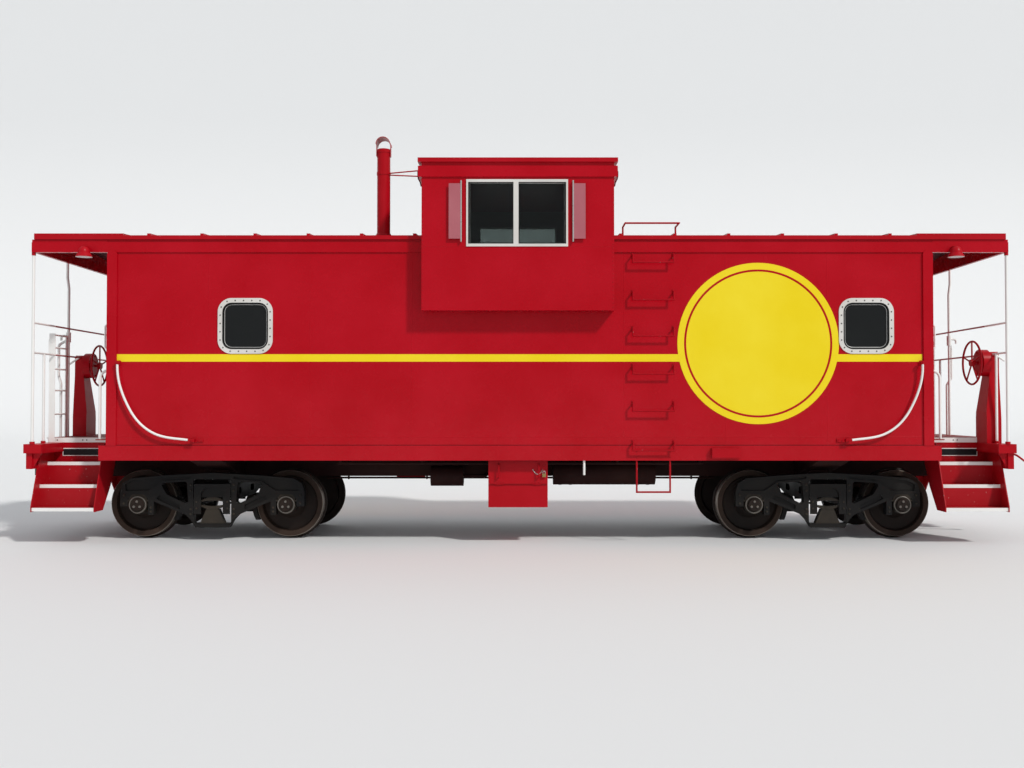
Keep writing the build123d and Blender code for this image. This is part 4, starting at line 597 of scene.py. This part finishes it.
# Tool box. The door's hinges are riveted, and a hasp at the right is closed by a padlock that
# hangs with its keeper chain.
hinge_x, hinge_y, hinge_z = (-0.253, 0.205), -1.32, 0.745
rivet_steps = (-0.055, -0.02, 0.02, 0.055)
hasp_x, hasp_y, hasp_z = 0.29, -1.332, (0.87, 0.93)
rivet_spots = [(x + step, hinge_y, hinge_z) for x in hinge_x for step in rivet_steps]
rivet_spots += [(hasp_x, hasp_y, z) for z in hasp_z]
rivets = heads(rivet_spots, facing, radius=0.007, height=0.004, around=8)
skins("tool_box_rivets", rivets, "tool_box_door", worn_red)
lock_x, lock_y, lock_z = 0.29, -1.34, 0.83
brass = enamel("padlock_brass", (0.35, 0.24, 0.09), (0.42, 0.3, 0.13), gloss=0.35, wave=0.05, metallic=0.8)
lock = slab((lock_x - 0.022, lock_y - 0.011, lock_z - 0.025), (lock_x + 0.022, lock_y + 0.009, lock_z + 0.02))
skins("padlock", lock, "tool_box_door", brass, smooth=False)
bow_radius, bow_rise, bow_foot = 0.014, 0.035, 0.015
bow = [(lock_x + bow_radius * math.cos(t), lock_y, lock_z + bow_rise + bow_radius * math.sin(t))
       for t in np.linspace(0, math.pi, 9)]
bow = [(lock_x + bow_radius, lock_y, lock_z + bow_foot), *bow,
       (lock_x - bow_radius, lock_y, lock_z + bow_foot)]
shackle = bar(bow, radius=0.004, up=(0, 1, 0), around=8)
skins("padlock_shackle", shackle, "tool_box_door", chrome)
chain_x, chain_y, chain_z = lock_x - 0.075, -1.327, lock_z + 0.01
chain_half, chain_sag = 0.062, 0.06
chain_line = [(chain_x + chain_half * t, chain_y, chain_z + chain_sag * t * t)
              for t in np.linspace(-1, 1, 13)]
chain = bar(chain_line, radius=0.004, up=(0, 1, 0), around=6)
skins("padlock_chain", chain, "tool_box_door", chrome)

# Handrails, posts and pipes. They are white pipe; the cross rods of the end rails, but for
# their outer ends, and the fittings that hold the corner handrails are red.
white = enamel("handrail_white", (0.88, 0.88, 0.86), (0.8, 0.8, 0.78), gloss=0.32, wave=0.05)
finish_nodes(white, ["corner_handrails", "end_railings", "end_ladders", "end_pipes_and_handrails"])
fitting_y, fitting_z, fitting_x = 1.466, 2.16, 3.935
second_finish("corner_handrails", trim_red, lambda centre, normal: (np.abs(centre[:, 1]) < fitting_y)
              | (centre[:, 2] > fitting_z) | (np.abs(centre[:, 0]) < fitting_x))
cross_rod_y, cross_rod_foot_z = 0.8, 2.29
second_finish("end_railings", trim_red, lambda centre, normal: (np.abs(centre[:, 1]) < cross_rod_y)
              & (centre[:, 2] > cross_rod_foot_z))
rail_x = 5.857
post_y, short_post_y = -1.405, -1.115
foot_z, canopy_z = 1.205, 3.511
clamp_levels = [(post_y, canopy_z - 0.035, canopy_z, 0.024), (post_y, foot_z, foot_z + 0.03, 0.03),
                (short_post_y, foot_z, foot_z + 0.03, 0.028)]
clamps = [bar([(rail_x, y, low), (rail_x, y, high)], radius=radius, up=(1, 0, 0), around=12)
          for y, low, high, radius in clamp_levels]
skins("post_clamps", all_corners(clamps), "carbody", trim_red)
cross_rod_z, white_end_y = (2.305, 2.665), -0.82
cross_rods = [bar([(rail_x, post_y, z), (rail_x, white_end_y, z)], radius=0.0125, up=(0, 0, 1), around=10)
              for z in cross_rod_z]
skins("cross_rod_paint", all_corners(cross_rods), "carbody", white)
foot_x, foot_height, foot_y = 3.915, 1.25, near_y - 0.012
rail_y, clip_half = -1.482, 0.018
head_x, head_bolt_x, head_z = (4.79, 4.83), 4.81, 2.185
brackets = [slab((foot_x - 0.12, foot_y, foot_height - 0.022), (foot_x + 0.03, under_y, foot_height + 0.022)),
            slab((foot_x - 0.03, rail_y - clip_half, foot_height - 0.018),
                 (foot_x + 0.045, rail_y + clip_half, foot_height + 0.02)),
            slab((head_x[0], rail_y - clip_half, head_z - 0.02),
                 (head_x[1], rail_y + clip_half, head_z + 0.02))]
skins("handrail_brackets", all_corners(brackets), "carbody", trim_red, smooth=False)
bolt_spots = [(foot_x - 0.1, foot_y, foot_height), (foot_x - 0.06, foot_y, foot_height),
              (head_bolt_x, rail_y - clip_half, head_z), (foot_x, rail_y - clip_half, foot_height)]
bracket_bolts = heads(bolt_spots, facing, radius=0.01, height=0.008)
skins("handrail_bolts", all_corners(bracket_bolts), "carbody", worn_red, smooth=False)

# Ladder leg. The near stile of the a end's ladder is an angle: its second leg stands across
# the track, with a plate round its head.
leg_x, leg_y = (-5.92, -5.845), -0.83
leg_head_z, plate_z, ladder_bolt_z = 2.575, (2.3, 2.5), (2.33, 2.47)
leg = [slab((leg_x[0], leg_y - 0.004, foot_z), (leg_x[1], leg_y + 0.004, leg_head_z)),
       slab((leg_x[0] - 0.006, leg_y - 0.01, plate_z[0]), (leg_x[1] + 0.006, leg_y - 0.002, plate_z[1]))]
skins("ladder_leg", leg, "carbody", white, smooth=False)
ladder_bolts = heads([(sum(leg_x) / 2, leg_y - 0.01, z) for z in ladder_bolt_z], facing, radius=0.012,
                     height=0.008)
skins("ladder_bolts", ladder_bolts, "carbody", white, smooth=False)

# Platform decks and steps. The decks and treads are red, with a white edge to each tread and
# to the deck over it, and a blank black sign plate on the top riser.
spring_black = enamel("spring_iron", (0.02, 0.018, 0.016), (0.05, 0.04, 0.03), gloss=0.5, wave=0.2)
deck_red = enamel("deck_plate", (0.22, 0.03, 0.03), (0.26, 0.06, 0.05), gloss=0.55, wave=0.3)
finish_nodes(deck_red, ["platforms"])
deck_edge_y, deck_edge_z, deck_edge_x = 0.805, 1.235, 5.08
second_finish("platforms", white, lambda centre, normal: (np.abs(normal[:, 1]) > square_on)
              & (np.abs(np.abs(centre[:, 1]) - deck_edge_y) < 0.002) & (np.abs(centre[:, 0]) > deck_edge_x))
tread_x = (5.102, 5.848)
tread_y = (-1.42, -1.215, -1.01)
tread_top = (0.441, 0.706, 0.971)
tread_edge = 0.04
edges = [slab((tread_x[0], y - 0.0015, top - tread_edge), (tread_x[1], y + 0.012, top + 0.0015), edge=0.0005)
         for y, top in zip(tread_y, tread_top)]
skins("tread_edges", all_corners(edges), "carbody", white, smooth=False)
deck_screw_x = (5.13, 5.45, 5.5, 5.82)
deck_screws = heads([(x, -deck_edge_y, deck_edge_z) for x in deck_screw_x], facing, radius=0.008,
                    height=0.004)
skins("deck_edge_screws", all_corners(deck_screws), "carbody", spring_black, smooth=False)
sign_x = (5.2, 5.75)
sign_z = (1.036, 1.134)
sign_border = 0.01
border_y, plate_y = (-0.811, -0.8045), (-0.813, -0.806)
black = enamel("sign_black", (0.012, 0.012, 0.013), (0.02, 0.02, 0.02), gloss=0.35, wave=0.03)
border = slab((sign_x[0], border_y[0], sign_z[0]), (sign_x[1], border_y[1], sign_z[1]), edge=0.002)
plate = slab((sign_x[0] + sign_border, plate_y[0], sign_z[0] + sign_border),
             (sign_x[1] - sign_border, plate_y[1], sign_z[1] - sign_border), edge=0.001)
skins("sign_borders", all_corners(border), "carbody", white, smooth=False)
skins("sign_plates", all_corners(plate), "carbody", black, smooth=False)

# Trucks. Black-painted castings with a rough sand-cast skin, dusted brown, on steel wheels
# that are rusty on the plate and worn bright on the tread; the rims are a little lighter as a
# painted highlight on the sunlit rim faces.
cast_black = enamel("truck_iron", (0.008, 0.008, 0.009), (0.018, 0.016, 0.014), gloss=0.4, wave=0.35)
for truck in ("truck_a", "truck_b"):
    finish_nodes(cast_black, [truck + piece for piece in ("_side_frames", "_bolster", "_brake_beams")])
    finish_nodes(spring_black, [truck + "_leaf_springs", truck + "_bearings"])
wheel_plate = enamel("wheel_plate", (0.012, 0.009, 0.008), (0.028, 0.018, 0.014), gloss=0.5, wave=0.2)
# The rims' lighter tone is a painted highlight for the sunlit rim faces.
sunlit_wheel_rim = enamel("sunlit_wheel_rim", (0.028, 0.018, 0.014), (0.06, 0.038, 0.028), gloss=0.6, wave=0.1)
wheel_tread = enamel("wheel_tread", (0.2, 0.17, 0.15), (0.3, 0.26, 0.22), gloss=0.4, wave=0.05, metallic=0.7)
bearing_steel = enamel("bearing_steel", (0.12, 0.11, 0.1), (0.22, 0.2, 0.18), gloss=0.4, wave=0.1,
                       metallic=0.5)
axle_x = {"wheelset_1": -4.7145, "wheelset_2": -2.8855, "wheelset_3": 2.8855, "wheelset_4": 4.7145}
axle_z = 0.4445
rim_from, rim_y = 0.345, 0.79
tread_from, wheel_back_y, flat_on = 0.4, 0.715, 0.8
cap_y = -1.078
cap_bolts = [(0.042 * math.cos(t), 0.042 * math.sin(t)) for t in np.radians((90, 210, 330))]


def from_axle(centre, x):
    """How far each face's centre is from an axle's middle line."""
    return np.hypot(centre[:, 0] - x, centre[:, 2] - axle_z)


for name, x in axle_x.items():
    finish_nodes(wheel_plate, [name])
    second_finish(name, sunlit_wheel_rim, lambda centre, normal: (from_axle(centre, x) > rim_from)
                  & (np.abs(centre[:, 1]) > rim_y))
    second_finish(name, wheel_tread, lambda centre, normal: (from_axle(centre, x) > tread_from)
                  & (np.abs(centre[:, 1]) > wheel_back_y) & (np.abs(normal[:, 1]) < flat_on))
    cap = heads([(x + bolt_x, cap_y, axle_z + bolt_z) for bolt_x, bolt_z in cap_bolts], facing,
                radius=0.017, height=0.014)
    skins(name + "_cap_bolts", across_car(cap), name, bearing_steel, smooth=False)

# Truck fittings. Each bearing has a steel seal ring round its cap, the side frames have bolts
# down both columns of the spring window and at the jaws, and the bolster's ends are bolted.
truck_middle = {"truck_a": -3.8, "truck_b": 3.8}
half_wheelbase, seal_radius = 0.9145, 0.1
frame_face_y, cup_face_y, bolster_face_y = -1.038, -1.053, -1.05
column_bolts = [(side * 0.266, z) for side in (-1, 1) for z in (0.33, 0.39, 0.62, 0.69)]
jaw_places = ((0.755, 0.36), (0.755, 0.41), (1.088, 0.46), (1.088, 0.56))
jaw_bolts = [(side * x, z) for side in (-1, 1) for x, z in jaw_places]
bolster_bolts = [(side * 0.19, z) for side in (-1, 1) for z in (0.4, 0.48)]
seal = np.array([(seal_radius * math.cos(t), 0, seal_radius * math.sin(t))
                 for t in np.linspace(0, 2 * math.pi, 32, endpoint=False)])
for truck, middle in truck_middle.items():
    frame_bolts = [(middle + x, frame_face_y, z) for x, z in column_bolts + jaw_bolts]
    end_bolts = [(middle + x, bolster_face_y, z) for x, z in bolster_bolts]
    bolts = np.concatenate([heads(frame_bolts, facing, radius=0.015, height=0.012),
                            heads(end_bolts, facing, radius=0.013, height=0.01)])
    skins(truck + "_bolts", across_car(bolts), truck, spring_black, smooth=False)
    seals = [closed_bar(seal + (middle + side * half_wheelbase, cup_face_y, axle_z), radius=0.007, up=facing)
             for side in (-1, 1)]
    skins(truck + "_seals", across_car(seals), truck, bearing_steel, looped=True)

# Underframe, tank and brake gear, all in red paint darkened almost to black as painted shade,
# and the couplers, which are bare rusty castings.
under_shade_red = enamel("underframe_dark", (0.022, 0.007, 0.007), (0.04, 0.016, 0.013), gloss=0.65, wave=0.3)
finish_nodes(under_shade_red, ["underframe", "brake_gear"])
# The floor's underside takes the same painted shade.
second_finish("floor", under_shade_red, lambda centre, normal: normal[:, 2] < -square_on)
rust = enamel("coupler_iron", (0.045, 0.03, 0.024), (0.1, 0.055, 0.035), gloss=0.7, wave=0.4)
finish_nodes(rust, ["coupler_a", "coupler_b", "knuckle_a", "knuckle_b"])
drain_x, drain_y, drain_half = 0.77, -1.3, 0.02
second_finish("brake_gear", white, lambda centre, normal: (np.abs(centre[:, 0] - drain_x) < drain_half)
              & (centre[:, 1] < drain_y))
pipe_line, pipe_half = (-0.56, 0.93), 2.34
rod_line, rod_half = (0.1, 0.7), 2.6
hanger_x = (-2.3, -1.25, 0.0, 1.25, 2.3)
lines = [bar([(-pipe_half, *pipe_line), (pipe_half, *pipe_line)], radius=0.021, up=(0, 0, 1), around=12),
         bar([(-rod_half, *rod_line), (rod_half, *rod_line)], radius=0.013, up=(0, 0, 1), around=12)]
skins("train_pipe_and_rod", lines, "carbody", under_shade_red)
pipe_hanger_top, rod_hanger_top = 1.0, 0.745
hangers = [slab((x - 0.015, pipe_line[0] - 0.025, pipe_line[1] - 0.005),
                (x + 0.015, pipe_line[0] + 0.025, pipe_hanger_top)) for x in hanger_x]
hangers += [slab((x - 0.01, rod_line[0] - 0.02, rod_line[1] - 0.02),
                 (x + 0.01, rod_line[0] + 0.02, rod_hanger_top)) for x in hanger_x]
skins("pipe_hangers", hangers, "carbody", under_shade_red, smooth=False)
tank_line, band_x, band_width = (-0.33, 0.79), (0.5, 0.635, 1.505, 1.64), 0.04
tank_bands = [bar([(x, *tank_line), (x + band_width, *tank_line)], radius=0.154, up=(0, 0, 1), around=40)
              for x in band_x]
skins("tank_bands", tank_bands, "carbody", under_shade_red)

# Coupler pins and striker bolts. A headed pin holds each knuckle, and six bolts hold each
# striker plate round the coupler.
knuckle_pin = (6.315, -0.125, 1.051)
striker_x, striker_y, striker_z = 5.975, (-0.2, 0.2), (0.76, 0.9, 1.04)
for end, side in car_ends:
    pin = heads([(side * knuckle_pin[0], side * knuckle_pin[1], knuckle_pin[2])], (0, 0, 1), radius=0.034,
                height=0.022, around=16)
    skins("coupler_" + end + "_pin", pin, "coupler_" + end, rust)
    bolt_spots = [(side * striker_x, y, z) for y in striker_y for z in striker_z]
    striker_bolts = heads(bolt_spots, (side, 0, 0), radius=0.015, height=0.012)
    skins("striker_" + end + "_bolts", striker_bolts, "carbody", trim_red, smooth=False)

# Air hoses. A black rubber hose hangs from the cock beside each coupler, from a level start
# round one slow bend to the coupling head at its foot.
hose_black = enamel("air_hose", (0.012, 0.012, 0.013), (0.03, 0.028, 0.027), gloss=0.6, wave=0.2)
hose_radius = 0.022
hose_route = [(6.005, -0.33, 0.812), (6.17, -0.33, 0.812), (6.217, -0.3, 0.57), (6.19, -0.17, 0.44)]
for end, side in car_ends:
    line = bpy.data.curves.new("hose_" + end, "CURVE")
    line.dimensions = "3D"
    line.bevel_depth = hose_radius
    line.bevel_resolution = 6
    line.use_fill_caps = True
    spline = line.splines.new("NURBS")
    spline.points.add(len(hose_route) - 1)
    for point, (x, y, z) in zip(spline.points, hose_route):
        point.co = (side * x, side * y, z, 1)
    spline.order_u = 3
    spline.use_endpoint_u = True
    spline.resolution_u = 12
    line.materials.append(hose_black)
    hose = bpy.data.objects.new("hose_" + end, line)
    bpy.context.collection.objects.link(hose)
    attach(hose, "carbody")
    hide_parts("air_hose_" + end)

# Brake stands. A round cover with a ring of bolts closes each gear case behind the wheel, and
# the release levers are white.
case_x, case_z = 5.72, 2.2
cover_x = (case_x + 0.01, case_x - 0.012)
cover_radius, bolt_reach = 0.115, 0.14
bolt_turn = np.radians(np.arange(22.5, 360, 45))
lever_x, lever_y, lever_half = 5.85, -0.108, 0.0125
grip_y, grip_half = -0.1, 0.0004
for end, side, y in (("a", -1, 0.05), ("b", 1, -0.93)):
    cover = bar([(side * x, y, case_z) for x in cover_x], radius=cover_radius, up=(0, 0, 1), around=40)
    skins("gear_cover_" + end, cover, "carbody", trim_red)
    bolt_spots = [(side * case_x, y + bolt_reach * math.cos(t), case_z + bolt_reach * math.sin(t))
                  for t in bolt_turn]
    case_bolts = heads(bolt_spots, (-side, 0, 0), radius=0.011, height=0.01)
    skins("gear_case_" + end + "_bolts", case_bolts, "carbody", trim_red, smooth=False)
    second_finish("brake_stands", white, lambda centre, normal: (
        (centre[:, 0] * side > lever_x) & (centre[:, 2] > case_z)
        & (np.abs(centre[:, 1] - y - lever_y) < lever_half)
        & (np.abs(centre[:, 1] - y - grip_y) > grip_half)))
